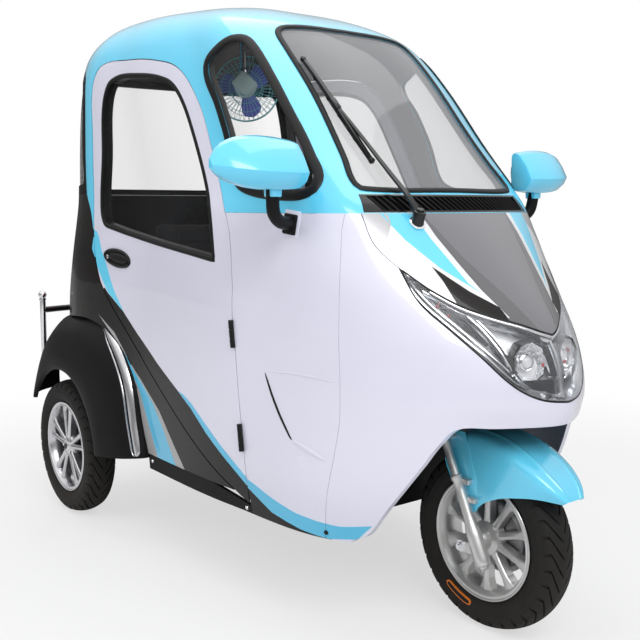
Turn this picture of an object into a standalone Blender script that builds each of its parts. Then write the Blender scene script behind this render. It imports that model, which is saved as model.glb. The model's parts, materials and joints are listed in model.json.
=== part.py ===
"""Enclosed three-wheeled mobility scooter: one fork-steered front wheel, two rear wheels and
a hard cabin with two front-hinged doors.  Metres, X forward, Y to the vehicle's left, Z up,
origin on the ground under the middle of its length."""
import math

import bmesh
import bpy
from mathutils import Matrix, Vector

# Wheels and axles
FRONT_AXLE = Vector((0.850, 0.0, 0.2445))
REAR_AXLE = Vector((-0.750, 0.0, 0.2445))
TYRE_RADIUS = 0.2445
TYRE_WIDTH = 0.105
RIM_RADIUS = 0.165
RIM_BEAD = 0.010
REAR_TRACK = 0.984
HUB_RADIUS = 0.034
GEAR_RADIUS = 0.075
GEAR_HALF = 0.065
MOTOR_RADIUS = 0.062
MOTOR_START = 0.040
MOTOR_END = 0.260
AXLE_TUBE_RADIUS = 0.021
FRONT_HUB_HALF = 0.068
REAR_HUB_HALF = 0.040
AXLE_RADIUS = 0.010
FRONT_SPOKES = 10
REAR_SPOKES = 5
SPOKE_DEPTH = 0.020
SPOKE_WIDTH = 0.017
TWIN_SPOKE_WIDTH = 0.013
TWIN_SPOKE_LEAN = 0.16
TURN_STEPS = 28

# Steering
RAKE = math.radians(25.5)
STEER_OFFSET = 0.012
LEG_SPACING = 0.210
LEG_RADIUS = 0.021
LEG_UPPER_RADIUS = 0.015
LEG_LEAD = 0.049
CROWN_HEIGHT = 0.515
STEM_RADIUS = 0.0165
HEAD_TUBE_RADIUS = 0.030
HEAD_TUBE_LENGTH = 0.100
HEAD_TUBE_HEIGHT = 0.665
STEM_TOP = HEAD_TUBE_HEIGHT + 0.275
POD_THICK = 0.030
POD_LENGTH = 0.050
POD_WIDTH = 0.110
BAR_RADIUS = 0.011
GRIP_RADIUS = 0.016
# Right half of the handlebar from its tip, seen from the bar's centre: x, y, z
HALF_BAR = ((-0.10, -0.27, 0.03), (-0.07, -0.17, 0.03), (0.0, -0.07, 0.0))

# Body panels
CABIN_WALL = 0.030
DOOR_WALL = 0.038
PANEL_WALL = 0.012
GLASS = 0.005
GLASS_INSET = 0.004
SEAM = 0.0006
SEAT = 0.0003
WALL_FIT = 0.0009
FLOOR_FIT = 0.0025
RUN = 0.0005
DOOR_GAP = 0.008
DOOR_REAR_EXTRA = 0.012
BELT = 1.109
WAIST = 0.640
SILL_TOP = 0.312
WINDOW_SEAL = 0.010
LAMP_DEPTH = 0.036
REFLECTOR_WALL = 0.005

# Floor and frame
RAIL_SPACING = 0.380
RAIL_WIDTH = 0.030
RAIL_BOTTOM = 0.280
RAIL_TOP = 0.320
RAIL_REAR = -0.930
RAIL_FRONT = 0.500
FLOOR_THICK = 0.010
FLOOR_FRONT = 0.5697
FLOOR_REAR = -0.925

# Body surface: one row for each level, front to rear along the right-hand side.  Heights in
# this and the outline tables are drawn for the belt in BELT_ROW and move when BELT does.
# height, nose x, half width of the front face, crown of that face, shoulder x,
# shoulder half width, half width at the door's front, at the door's middle, at the rear
# wheel, tail x
BODY_SECTIONS = (
    (0.260, 0.890, 0.200, 0.030, 0.670, 0.370, 0.440, 0.448, 0.440, -0.950),
    (0.400, 0.980, 0.180, 0.040, 0.730, 0.382, 0.450, 0.458, 0.450, -0.980),
    (0.580, 1.068, 0.120, 0.045, 0.790, 0.352, 0.455, 0.465, 0.455, -1.000),
    (0.660, 1.085, 0.120, 0.045, 0.800, 0.346, 0.456, 0.466, 0.455, -1.005),
    (0.750, 1.065, 0.120, 0.045, 0.800, 0.338, 0.456, 0.466, 0.452, -1.005),
    (0.830, 1.018, 0.130, 0.045, 0.780, 0.340, 0.453, 0.462, 0.448, -1.000),
    (0.950, 0.905, 0.170, 0.045, 0.740, 0.342, 0.443, 0.455, 0.440, -0.980),
    (1.109, 0.745, 0.230, 0.035, 0.665, 0.335, 0.422, 0.440, 0.425, -0.950),
    (1.180, 0.665, 0.245, 0.030, 0.600, 0.345, 0.412, 0.436, 0.420, -0.940),
    (1.320, 0.530, 0.260, 0.025, 0.465, 0.350, 0.404, 0.432, 0.415, -0.925),
    (1.480, 0.390, 0.260, 0.022, 0.325, 0.352, 0.398, 0.428, 0.408, -0.900),
    (1.600, 0.275, 0.250, 0.022, 0.210, 0.340, 0.388, 0.420, 0.400, -0.855),
    (1.670, 0.190, 0.230, 0.022, 0.120, 0.315, 0.368, 0.402, 0.380, -0.805),
    (1.725, 0.060, 0.180, 0.018, -0.010, 0.260, 0.322, 0.360, 0.335, -0.740),
    (1.762, -0.090, 0.120, 0.010, -0.150, 0.180, 0.250, 0.290, 0.265, -0.660),
    (1.785, -0.270, 0.050, 0.004, -0.300, 0.080, 0.120, 0.145, 0.130, -0.560),
    (1.790, -0.420, 0.000, 0.000, -0.420, 0.000, 0.000, 0.000, 0.000, -0.420),
)
BELT_ROW = 7
ROW_STEPS = 1
COLUMN_STEPS = (3, 3, 3, 3, 2, 3, 2)

# Side outlines: x, z, 1 for a sharp corner
DOOR_OUTLINE = (
    (-0.600, 1.380, 0), (-0.611, 1.530, 0), (-0.565, 1.598, 0), (-0.400, 1.600, 0),
    (-0.230, 1.580, 0), (-0.097, 1.540, 0), (0.018, 1.429, 0), (0.096, 1.293, 0),
    (0.167, 1.158, 0), (0.235, 1.032, 0), (0.284, 0.810, 0), (0.311, 0.515, 0),
    (0.326, 0.297, 1), (0.151, 0.378, 0), (-0.041, 0.497, 0), (-0.268, 0.658, 0),
    (-0.491, 0.857, 0), (-0.551, 0.975, 0), (-0.583, 1.180, 0),
)
DOOR_WINDOW = (
    (-0.548, 1.300, 0), (-0.552, 1.480, 0), (-0.505, 1.553, 0), (-0.330, 1.555, 0),
    (-0.150, 1.520, 0), (-0.070, 1.462, 0), (0.010, 1.345, 0), (0.122, 1.140, 0),
    (0.185, 0.967, 1), (-0.500, 1.055, 0), (-0.545, 1.120, 0),
)
QUARTER_WINDOW = (
    (0.045, 1.535, 0), (0.110, 1.590, 0), (0.180, 1.612, 0), (0.234, 1.583, 0),
    (0.333, 1.483, 0), (0.430, 1.369, 0), (0.516, 1.268, 0), (0.572, 1.195, 0),
    (0.560, 1.158, 0), (0.474, 1.148, 0), (0.300, 1.165, 0), (0.225, 1.200, 0),
    (0.173, 1.321, 0), (0.116, 1.421, 0),
)
CABIN_ZONE = (
    (1.300, 1.109, 1), (1.300, 2.000, 1), (-1.300, 2.000, 1), (-1.300, 1.605, 1),
    (-0.720, 1.605, 1), (-0.690, 1.565, 0), (-0.645, 1.148, 0), (-0.588, 0.974, 0),
    (-0.480, 0.790, 1), (-0.400, 0.850, 1), (-0.200, 1.109, 1),
)
REAR_FRAME_ZONE = (
    (-1.300, 1.170, 1), (-0.500, 1.170, 1), (-0.500, 1.700, 1), (-1.300, 1.700, 1),
)
REAR_WINDOW = (
    (-1.300, 1.205, 1), (-0.700, 1.205, 0), (-0.702, 1.300, 0), (-0.727, 1.530, 0),
    (-0.752, 1.575, 0), (-1.300, 1.575, 1),
)
QUARTER_ZONE = (
    (-0.800, 1.1694, 1), (-0.500, 1.1694, 1), (-0.100, 0.900, 1), (0.285, SILL_TOP, 1),
    (-0.770, SILL_TOP, 1), (-0.745, 0.650, 1), (-0.785, 0.900, 1),
)
REAR_ZONE = (
    (-1.300, SILL_TOP, 1), (-0.600, SILL_TOP, 1), (-0.600, 1.1694, 1), (-1.300, 1.1694, 1),
)
SIDE_PANEL_ZONE = (
    (0.000, 1.1084, 1), (0.649, 1.1084, 1), (0.671, 0.944, 0), (0.678, 0.764, 0),
    (0.688, 0.670, 0), (0.684, 0.560, 0), (0.665, 0.440, 0), (0.621, 0.250, 1),
    (0.345, 0.250, 1), (0.290, 0.600, 1), (0.200, 0.950, 1),
)
NOSE_ZONE = (
    (0.500, 1.1084, 1), (1.300, 1.1084, 1), (1.300, 0.592, 1), (1.000, 0.592, 1),
    (0.941, 0.590, 0), (0.905, 0.548, 0), (0.868, 0.483, 0), (0.826, 0.415, 0),
    (0.774, 0.340, 0), (0.735, 0.290, 0), (0.690, 0.262, 0), (0.690, 0.240, 1),
    (0.500, 0.240, 1),
)
SILL_ZONE = (
    (-0.290, 0.240, 1), (0.640, 0.240, 1), (0.640, 0.266, 1), (0.420, 0.282, 1),
    (0.330, 0.284, 1), (0.150, SILL_TOP - SEAM, 1), (-0.290, SILL_TOP - SEAM, 1),
)

# Front outlines, right half: y, z, 1 for a sharp corner
WINDSCREEN = (
    (0.000, 1.662, 0), (0.200, 1.655, 0), (0.255, 1.634, 0), (0.268, 1.580, 0),
    (0.270, 1.400, 0), (0.284, 1.260, 0), (0.299, 1.190, 0), (0.280, 1.166, 0),
    (0.000, 1.163, 0),
)
COWL = ((0.000, 1.158, 1), (0.300, 1.158, 1), (0.312, 1.1105, 1), (0.000, 1.1105, 1))
LOUVRES = 12
LOUVRE_PITCH = 0.0225
LOUVRE_SLOT = ((-0.011, 1.119), (-0.004, 1.119), (0.011, 1.150), (0.004, 1.150))
HOOD = (
    (0.000, 1.1084, 1), (0.318, 1.1084, 1), (0.316, 1.030, 0), (0.277, 0.975, 0),
    (0.236, 0.905, 0), (0.171, 0.882, 0), (0.106, 0.853, 0), (0.030, 0.820, 0),
    (0.000, 0.812, 1),
)
LENS = (
    (0.000, 0.8114, 1), (0.030, 0.8194, 0), (0.106, 0.8524, 0), (0.171, 0.8814, 0),
    (0.232, 0.896, 1), (0.223, 0.835, 0), (0.183, 0.785, 0), (0.161, 0.742, 0),
    (0.132, 0.698, 0), (0.079, 0.661, 0), (0.000, 0.645, 1),
)
TAIL_LAMP = ((0.290, 0.780, 1), (0.375, 0.780, 0), (0.390, 0.990, 0), (0.300, 0.990, 1))

# Rear fender: angle about the rear axle, joint radius on the body side
REAR_FENDER_STATIONS = (
    (150.0, 0.335), (138.0, 0.390), (122.0, 0.445), (105.0, 0.478), (88.0, 0.485),
    (70.0, 0.515), (52.0, 0.542), (36.0, 0.535), (20.0, 0.500), (6.0, 0.502),
)
FENDER_LIP = 0.290
FENDER_OUT = 0.552
FENDER_WALL = 0.006
FENDER_INNER = 0.425
# Across the fender: share of the way from lip to joint, distance from the middle
FENDER_PROFILE = (
    (0.38, FENDER_OUT - 0.008), (0.75, FENDER_OUT - 0.036), (1.0, 0.466),
    (1.0, FENDER_INNER + FENDER_WALL),
)
ARCH_BOTTOM = 0.10

# Front fender: angle about the front axle, crest radius, half width, skirt depth
FRONT_FENDER_STATIONS = (
    (97.0, 0.298, 0.081, 0.190), (91.0, 0.299, 0.081, 0.200), (83.0, 0.300, 0.081, 0.165),
    (72.0, 0.302, 0.081, 0.115), (60.0, 0.304, 0.079, 0.090), (48.0, 0.309, 0.072, 0.060),
    (38.0, 0.316, 0.052, 0.024), (33.0, 0.320, 0.028, 0.008),
)
FRONT_FENDER_WALL = 0.003
FENDER_HALF = 0.081

# Door hinge: axis through two points on the right side, knuckle sizes
HINGE_LOW = Vector((0.3195, -0.4580, 0.480))
HINGE_HIGH = Vector((0.2930, -0.4660, 0.7725))
HINGE_LENGTH = 0.075
HINGE_RADIUS = 0.0065

HANDLE_X = -0.415
HANDLE_HEIGHT = 0.944
HANDLE_LENGTH = 0.160
HANDLE_DEPTH = 0.056

# Cabin fittings
SEAT_FRONT = -0.020
SEAT_REAR = -0.480
SEAT_HALF = 0.240
SEAT_TOP = 0.690
SEAT_BASE_TOP = 0.600
SEAT_BACK_TOP = 1.090
SEAT_BACK_THICK = 0.081
SEAT_BACK_LEAN = math.radians(-8)
SEAT_BASE_HALF = 0.210
SEAT_BASE_WALL = 0.008
BATTERY_HALF = 0.180
BATTERY_TOP = 0.550
BATTERY_ENDS = 0.025
TUB_FRONT = -0.500
TUB_REAR = -0.900
TUB_HALF = 0.376
TUB_WALL = 0.008
DASH_REAR = 0.625
DASH_FRONT = 0.710
DASH_LOW = 0.930
DASH_TOP = 1.085
FAN_CENTRE = Vector((-0.070, -0.170, 1.500))
FAN_AXIS = Vector((-0.76, 0.64, -0.10)).normalized()
FAN_RADIUS = 0.104

# Mirror: sections outward along the width: half-width place, x rear, x front, z low, z high
MIRROR_SECTIONS = (
    (0.425, 0.535, 0.590, 1.190, 1.275), (0.460, 0.520, 0.612, 1.168, 1.296),
    (0.530, 0.512, 0.614, 1.166, 1.302), (0.600, 0.512, 0.596, 1.180, 1.296),
    (0.650, 0.515, 0.560, 1.210, 1.276), (0.672, 0.520, 0.535, 1.232, 1.256),
)
MIRROR_ARM = (
    (0.560, 0.490, 1.185), (0.556, 0.488, 1.135), (0.546, 0.474, 1.105),
    (0.535, 0.450, 1.088), (0.530, 0.395, 1.082),
)
MIRROR_ARM_RADIUS = 0.012

# Wiper: x, y, z of the arm from its spindle's top, and of the blade from its lower end
SPINDLE_AXIS = Vector((0.66, -0.10, 0.74)).normalized()
WIPER_ARM = ((0.7592, -0.191, 1.0968), (0.625, -0.212, 1.235), (0.490, -0.232, 1.395))
WIPER_BLADE = ((0.618, -0.214, 1.240), (0.4874, -0.2316, 1.392), (0.345, -0.243, 1.533))
WIPER_RADIUS = 0.006

# Rear bumper: x, y of the bow from its right end; x, y, z of each foot from its post
BUMPER_BOW = ((-1.067, -0.480), (-1.095, -0.300), (-1.108, 0.0))
BUMPER_FOOT = (
    (-1.067, 0.480, 0.520), (-1.066, 0.400, 0.500), (-1.040, 0.350, 0.500),
    (-0.960, 0.350, 0.500),
)
BUMPER_RADIUS = 0.012
BUMPER_HEIGHT = 0.720
BUMPER_STAY = 0.250
KNOB_HEIGHT = 0.780
KNOB_RADIUS = 0.016

PAINT = {
    "blue": ((0.13, 0.62, 0.88, 1.0), 0.25, 0.0),
    "white": ((0.78, 0.78, 0.86, 1.0), 0.25, 0.0),
    "charcoal": ((0.035, 0.03, 0.028, 1.0), 0.3, 0.0),
    "black": ((0.012, 0.012, 0.013, 1.0), 0.55, 0.0),
    "grey": ((0.17, 0.17, 0.19, 1.0), 0.35, 0.0),
    "glass": ((0.10, 0.11, 0.12, 1.0), 0.05, 0.0),
    "chrome": ((0.75, 0.75, 0.77, 1.0), 0.12, 1.0),
    "silver": ((0.55, 0.55, 0.57, 1.0), 0.35, 0.8),
    "rubber": ((0.015, 0.015, 0.015, 1.0), 0.8, 0.0),
    "lens": ((0.85, 0.88, 0.90, 1.0), 0.05, 0.0),
    "red": ((0.45, 0.01, 0.01, 1.0), 0.15, 0.0),
    "leather": ((0.03, 0.03, 0.035, 1.0), 0.5, 0.0),
    "teal": ((0.25, 0.65, 0.62, 1.0), 0.3, 0.0),
    "violet": ((0.30, 0.30, 0.75, 1.0), 0.3, 0.0),
    "steel": ((0.05, 0.05, 0.055, 1.0), 0.5, 0.3),
}

for item in list(bpy.data.objects):
    bpy.data.objects.remove(item, do_unlink=True)

parts = bpy.data.collections.new("enclosed_mobility_scooter")
cutters = bpy.data.collections.new("cutters")
bpy.context.scene.collection.children.link(parts)
bpy.context.scene.collection.children.link(cutters)


def material(name, paint):
    """A Principled material in one of the PAINT colours."""
    colour, roughness, metallic = PAINT[paint]
    new = bpy.data.materials.new(name)
    new.use_nodes = True
    shader = new.node_tree.nodes["Principled BSDF"]
    shader.inputs["Base Color"].default_value = colour
    shader.inputs["Roughness"].default_value = roughness
    shader.inputs["Metallic"].default_value = metallic
    return new


def keep(item, name, paint, parent=None):
    """Name an object as a finished sub-part, paint it and hang it on its empty."""
    item.name = name
    item.data.name = name
    for group in list(item.users_collection):
        group.objects.unlink(item)
    parts.objects.link(item)
    item.data.materials.clear()
    item.data.materials.append(material(name, paint))
    if parent is not None:
        item.parent = parent
        item.matrix_parent_inverse = parent.matrix_basis.inverted()
    return item


def as_cutter(item):
    """Move an object to the cutters and hide it."""
    for group in list(item.users_collection):
        group.objects.unlink(item)
    cutters.objects.link(item)
    item.hide_render = True
    item.display_type = "WIRE"
    return item


def new_object(name, mesh):
    item = bpy.data.objects.new(name, mesh)
    cutters.objects.link(item)
    return item


def boolean(item, tool, operation, solver="EXACT"):
    """Cut, join or intersect with another mesh object."""
    as_cutter(tool)
    step = item.modifiers.new(operation.lower(), "BOOLEAN")
    step.operation = operation
    step.solver = solver
    step.object = tool
    return item


def settle(item):
    """Apply an object's modifiers and place by reading its evaluated mesh."""
    bpy.context.view_layer.update()
    graph = bpy.context.evaluated_depsgraph_get()
    mesh = bpy.data.meshes.new_from_object(item.evaluated_get(graph))
    mesh.transform(item.matrix_world)
    item.modifiers.clear()
    item.data = mesh
    item.matrix_world = Matrix.Identity(4)
    return item


def empty_at(name, place, axis=Vector((0, 0, 1))):
    """An empty on a joint's axis, its own Z along that axis."""
    item = bpy.data.objects.new(name, None)
    parts.objects.link(item)
    item.rotation_mode = "QUATERNION"
    item.rotation_quaternion = Vector((0, 0, 1)).rotation_difference(axis)
    item.location = place
    bpy.context.view_layer.update()
    return item


def at_belt(height):
    """A table's height, moved with BELT: from WAIST up to the roof's peak all levels shift
    in step, so that the table's belt row comes to BELT."""
    drawn, roof = BODY_SECTIONS[BELT_ROW][0], BODY_SECTIONS[-1][0]
    if height <= WAIST or height >= roof:
        return height
    if height <= drawn:
        return WAIST + (height - WAIST) * (BELT - WAIST) / (drawn - WAIST)
    return roof - (roof - height) * (roof - BELT) / (roof - drawn)


def smooth_loop(points, steps=2, closed=True):
    """Points on a Catmull-Rom curve through (place, height, corner) rows; corners stay
    sharp."""
    points = [(place, at_belt(height), corner) for place, height, corner in points]
    count = len(points)
    result = []
    last = count if closed else count - 1
    for i in range(last):
        a = Vector(points[i][:2])
        b = Vector(points[(i + 1) % count][:2])
        before = Vector(points[i - 1][:2]) if closed or i else a
        after = Vector(points[(i + 2) % count][:2]) if closed or i + 2 < count else b
        span = (b - a).length
        sharp_a = points[i][2]
        sharp_b = points[(i + 1) % count][2]
        if sharp_a and sharp_b:
            result.append(a)
            continue
        lean_a = (b - a) if sharp_a else (b - before).normalized() * span
        lean_b = (b - a) if sharp_b else (after - a).normalized() * span
        for k in range(steps):
            t = k / steps
            result.append(a * (2 * t**3 - 3 * t**2 + 1) + lean_a * (t**3 - 2 * t**2 + t)
                          + b * (3 * t**2 - 2 * t**3) + lean_b * (t**3 - t**2))
    if not closed:
        result.append(Vector(points[-1][:2]))
    return result


def grow_loop(loop, gap, rear_extra=0.0):
    """Offset a closed loop outward by gap, and by rear_extra more where it faces rearward."""
    area = sum(p.x * q.y - q.x * p.y for p, q in zip(loop, loop[1:] + loop[:1]))
    turn = 1.0 if area > 0 else -1.0
    result = []
    for i, p in enumerate(loop):
        d1 = (p - loop[i - 1]).normalized()
        d2 = (loop[(i + 1) % len(loop)] - p).normalized()
        n1 = Vector((d1.y, -d1.x)) * turn
        n2 = Vector((d2.y, -d2.x)) * turn
        n = (n1 + n2).normalized()
        reach = 1.0 / max(0.5, n.dot(n1))
        result.append(p + n * reach * (gap + rear_extra * max(0.0, -n.x)))
    return result


def both_halves(points):
    """A front outline's right half joined with its mirror image, as (y, z) points."""
    right = smooth_loop(points, closed=False)
    right = [Vector((-p.x, p.y)) for p in right]
    left = [Vector((-p.x, p.y)) for p in reversed(right) if abs(p.x) > 1e-9]
    return right + left


def prism(name, loop, axis, low, high):
    """A closed prism: a flat 2D curve of the loop, extruded between low and high."""
    curve = bpy.data.curves.new(name, "CURVE")
    curve.dimensions = "2D"
    curve.fill_mode = "BOTH"
    curve.extrude = (high - low) / 2
    spline = curve.splines.new("POLY")
    spline.points.add(len(loop) - 1)
    for point, place in zip(spline.points, loop):
        point.co = (place.x, place.y, 0, 1)
    spline.use_cyclic_u = True
    flat = new_object(name, curve)
    middle = (low + high) / 2
    if axis == "Y":
        flat.matrix_world = Matrix.Translation((0, middle, 0)) @ Matrix.Rotation(
            math.radians(90), 4, "X")
    elif axis == "X":
        flat.matrix_world = Matrix.Translation((middle, 0, 0)) @ Matrix(
            ((0, 0, 1, 0), (1, 0, 0, 0), (0, 1, 0, 0), (0, 0, 0, 1)))
    else:
        flat.matrix_world = Matrix.Translation((0, 0, middle))
    bpy.context.view_layer.update()
    mesh = bpy.data.meshes.new_from_object(
        flat.evaluated_get(bpy.context.evaluated_depsgraph_get()))
    mesh.transform(flat.matrix_world)
    bpy.data.objects.remove(flat, do_unlink=True)
    work = bmesh.new()
    work.from_mesh(mesh)
    bmesh.ops.remove_doubles(work, verts=work.verts, dist=1e-6)
    bmesh.ops.recalc_face_normals(work, faces=work.faces)
    work.to_mesh(mesh)
    work.free()
    return as_cutter(new_object(name, mesh))


def side_prism(name, points, low=-0.8, high=0.8, grow=0.0, rear_extra=0.0):
    """A prism across the body from a side outline."""
    loop = smooth_loop(points)
    if grow or rear_extra:
        loop = grow_loop(loop, grow, rear_extra)
    return prism(name, loop, "Y", low, high)


def front_prism(name, points, low=0.0, high=1.5, grow=0.0):
    """A prism along the body from a front outline's half."""
    loop = both_halves(points)
    if grow:
        loop = grow_loop(loop, grow)
    return prism(name, loop, "X", low, high)


def box(name, low, high):
    """A box between two corners, from a cube."""
    work = bmesh.new()
    bmesh.ops.create_cube(work, size=1.0)
    mesh = bpy.data.meshes.new(name)
    work.to_mesh(mesh)
    work.free()
    low, high = Vector(low), Vector(high)
    size = high - low
    mesh.transform(Matrix.Translation((low + high) / 2) @ Matrix.Diagonal((*size, 1)))
    return new_object(name, mesh)


def rod(name, start, end, radius, sides=20, end_radius=None):
    """A closed cylinder or cone between two points."""
    start, end = Vector(start), Vector(end)
    work = bmesh.new()
    bmesh.ops.create_cone(work, cap_ends=True, segments=sides, radius1=radius,
                          radius2=radius if end_radius is None else end_radius,
                          depth=(end - start).length)
    mesh = bpy.data.meshes.new(name)
    work.to_mesh(mesh)
    work.free()
    turn = Vector((0, 0, 1)).rotation_difference(end - start).to_matrix().to_4x4()
    mesh.transform(Matrix.Translation((start + end) / 2) @ turn)
    return new_object(name, mesh)


def ball(name, centre, radii, u=20, v=12):
    """A sphere or ellipsoid."""
    work = bmesh.new()
    bmesh.ops.create_uvsphere(work, u_segments=u, v_segments=v, radius=1.0)
    mesh = bpy.data.meshes.new(name)
    work.to_mesh(mesh)
    work.free()
    mesh.transform(Matrix.Translation(centre) @ Matrix.Diagonal((*radii, 1)))
    return new_object(name, mesh)


def tube(name, points, radius, resolution=2, cyclic=False):
    """A bent tube or hoop: a poly curve with a bevel, read back as a closed mesh."""
    curve = bpy.data.curves.new(name, "CURVE")
    curve.dimensions = "3D"
    curve.bevel_depth = radius
    curve.bevel_resolution = resolution
    curve.use_fill_caps = True
    spline = curve.splines.new("POLY")
    spline.points.add(len(points) - 1)
    for point, place in zip(spline.points, points):
        point.co = (*place, 1)
    spline.use_cyclic_u = cyclic
    pipe = new_object(name, curve)
    bpy.context.view_layer.update()
    mesh = bpy.data.meshes.new_from_object(
        pipe.evaluated_get(bpy.context.evaluated_depsgraph_get()))
    mesh.transform(pipe.matrix_world)
    bpy.data.objects.remove(pipe, do_unlink=True)
    work = bmesh.new()
    work.from_mesh(mesh)
    bmesh.ops.remove_doubles(work, verts=work.verts, dist=1e-6)
    bmesh.ops.recalc_face_normals(work, faces=work.faces)
    work.to_mesh(mesh)
    work.free()
    return new_object(name, mesh)


def turned(name, profile, steps=TURN_STEPS):
    """A closed turned solid: (radius, along) points, outer side from high to low,
    turned about local Z and laid along world Y at the origin."""
    work = bmesh.new()
    points = [work.verts.new((radius, 0, along)) for radius, along in profile]
    for a, b in zip(points, points[1:] + points[:1]):
        work.edges.new((a, b))
    mesh = bpy.data.meshes.new(name)
    work.to_mesh(mesh)
    work.free()
    item = new_object(name, mesh)
    screw = item.modifiers.new("turn", "SCREW")
    screw.steps = steps
    screw.render_steps = steps
    screw.use_merge_vertices = True
    screw.merge_threshold = 0.00001
    screw.use_normal_calculate = True
    settle(item)
    work = bmesh.new()
    work.from_mesh(item.data)
    bmesh.ops.remove_doubles(work, verts=work.verts, dist=1e-6)
    bmesh.ops.recalc_face_normals(work, faces=work.faces)
    work.to_mesh(item.data)
    work.free()
    item.data.transform(Matrix.Rotation(math.radians(-90), 4, "X"))
    return item


def loft(name, rings, closed_rings=True, caps=True):
    """A loft between unlike sections, each a list of as many points."""
    work = bmesh.new()
    rows = [[work.verts.new(p) for p in ring] for ring in rings]
    count = len(rows[0])
    last = count if closed_rings else count - 1
    for low, high in zip(rows, rows[1:]):
        for i in range(last):
            j = (i + 1) % count
            work.faces.new((low[i], low[j], high[j], high[i]))
    if caps:
        work.faces.new(list(reversed(rows[0])))
        work.faces.new(rows[-1])
    bmesh.ops.recalc_face_normals(work, faces=work.faces)
    mesh = bpy.data.meshes.new(name)
    work.to_mesh(mesh)
    work.free()
    return new_object(name, mesh)


def union(name, pieces, solver="EXACT"):
    """Join pieces into one body."""
    first = pieces[0]
    for other in pieces[1:]:
        boolean(first, other, "UNION", solver)
    settle(first)
    first.name = name
    return first


def body_row(at):
    """A row of the body surface at a fractional row number."""
    last = len(BODY_SECTIONS) - 1
    i = min(int(at), last - 1)
    t = at - i
    rows = [BODY_SECTIONS[min(max(k, 0), last)] for k in (i - 1, i, i + 1, i + 2)]
    result = []
    for before, a, b, after in zip(*rows):
        lean_a = (b - before) / 2 if i else b - a
        lean_b = (after - a) / 2 if i + 2 <= last else b - a
        result.append((2 * t**3 - 3 * t**2 + 1) * a + (t**3 - 2 * t**2 + t) * lean_a
                      + (3 * t**2 - 2 * t**3) * b + (t**3 - t**2) * lean_b)
    return result


def half_section(row):
    """Points of a level section from the nose round the right side to the tail."""
    height, nose, face, crown, shoulder, shoulder_w, door_w, middle_w, rear_w, tail = row
    span = shoulder - tail
    door_x = shoulder - 0.26 * span
    rear_x = tail + 0.075 * span
    knots = [(nose, 0), (nose - crown, face), (shoulder, shoulder_w), (door_x, door_w),
             ((door_x + rear_x) / 2, middle_w), (rear_x, rear_w),
             (tail + 0.012 * min(1.0, span), rear_w * 0.78), (tail, 0)]
    around = [(knots[1][0], -knots[1][1])] + knots + [(knots[-2][0], -knots[-2][1])]
    around = [Vector(p) for p in around]
    gaps = [max((q - p).length, 1e-9) for p, q in zip(around, around[1:])]
    leans = []
    for i in range(1, len(around) - 1):
        a, b = gaps[i - 1], gaps[i]
        leans.append(((around[i] - around[i - 1]) / a * b
                      + (around[i + 1] - around[i]) / b * a) / (a + b))
    points = []
    for i, steps in enumerate(COLUMN_STEPS):
        a, b, length = around[i + 1], around[i + 2], gaps[i + 1]
        for k in range(steps):
            t = k / steps
            points.append(a * (2 * t**3 - 3 * t**2 + 1)
                          + leans[i] * length * (t**3 - 2 * t**2 + t)
                          + b * (3 * t**2 - 2 * t**3)
                          + leans[i + 1] * length * (t**3 - t**2))
    points.append(around[-2])
    return [Vector((p.x, -max(p.y, 0.0), at_belt(height))) for p in points]


def body_surface(inset, floor=False):
    """The open body surface as a bmesh, moved inward by inset."""
    work = bmesh.new()
    rings = []
    last = len(BODY_SECTIONS) - 1
    for step in range(last * ROW_STEPS):
        half = half_section(body_row(step / ROW_STEPS))
        ring = half + [Vector((p.x, -p.y, p.z)) for p in reversed(half[1:-1])]
        rings.append([work.verts.new(p) for p in ring])
    count = len(rings[0])
    for low, high in zip(rings, rings[1:]):
        for i in range(count):
            j = (i + 1) % count
            if i < count // 2:
                work.faces.new((low[j], low[i], high[i]))
                work.faces.new((low[j], high[i], high[j]))
            else:
                work.faces.new((low[j], low[i], high[j]))
                work.faces.new((low[i], high[i], high[j]))
    top = BODY_SECTIONS[-1]
    peak = work.verts.new((top[1], 0, top[0]))
    for i in range(count):
        work.faces.new((rings[-1][(i + 1) % count], rings[-1][i], peak))
    if floor:
        work.faces.new(rings[0])
    work.normal_update()
    if inset:
        moved = {v: v.co - v.normal * inset * v.calc_shell_factor() for v in work.verts}
        for v, place in moved.items():
            if v in rings[0]:
                place.z = BODY_SECTIONS[0][0]
            v.co = place
    return work


def skin(name, wall, inset=0.0):
    """The body surface, set in by inset and thickened inward by wall."""
    work = body_surface(inset)
    mesh = bpy.data.meshes.new(name)
    work.to_mesh(mesh)
    work.free()
    item = new_object(name, mesh)
    shell = item.modifiers.new("wall", "SOLIDIFY")
    shell.thickness = wall
    shell.offset = -1.0
    shell.use_even_offset = True
    return item


def core(name, inset):
    """What the body surface holds inside a wall of that depth, as one closed solid."""
    work = body_surface(inset, floor=True)
    bmesh.ops.recalc_face_normals(work, faces=work.faces)
    mesh = bpy.data.meshes.new(name)
    work.to_mesh(mesh)
    work.free()
    return new_object(name, mesh)


def panel(name, paint, wall, zones, cuts=(), inset=0.0, parent=None):
    """A body panel: the thickened skin kept inside each zone and cut by each cutter.
    The seams run so close together that the exact solver fails on them."""
    item = skin(name, wall, inset)
    for zone in zones:
        boolean(item, zone, "INTERSECT", "MANIFOLD")
    for cut in cuts:
        boolean(item, cut, "DIFFERENCE", "MANIFOLD")
    settle(item)
    return keep(item, name, paint, parent)


SIDES = (("right", -1), ("left", 1))


def side_span(side, inner=0.03, outer=0.8):
    """Low and high y of one side."""
    return (-outer, -inner) if side < 0 else (inner, outer)


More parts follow.
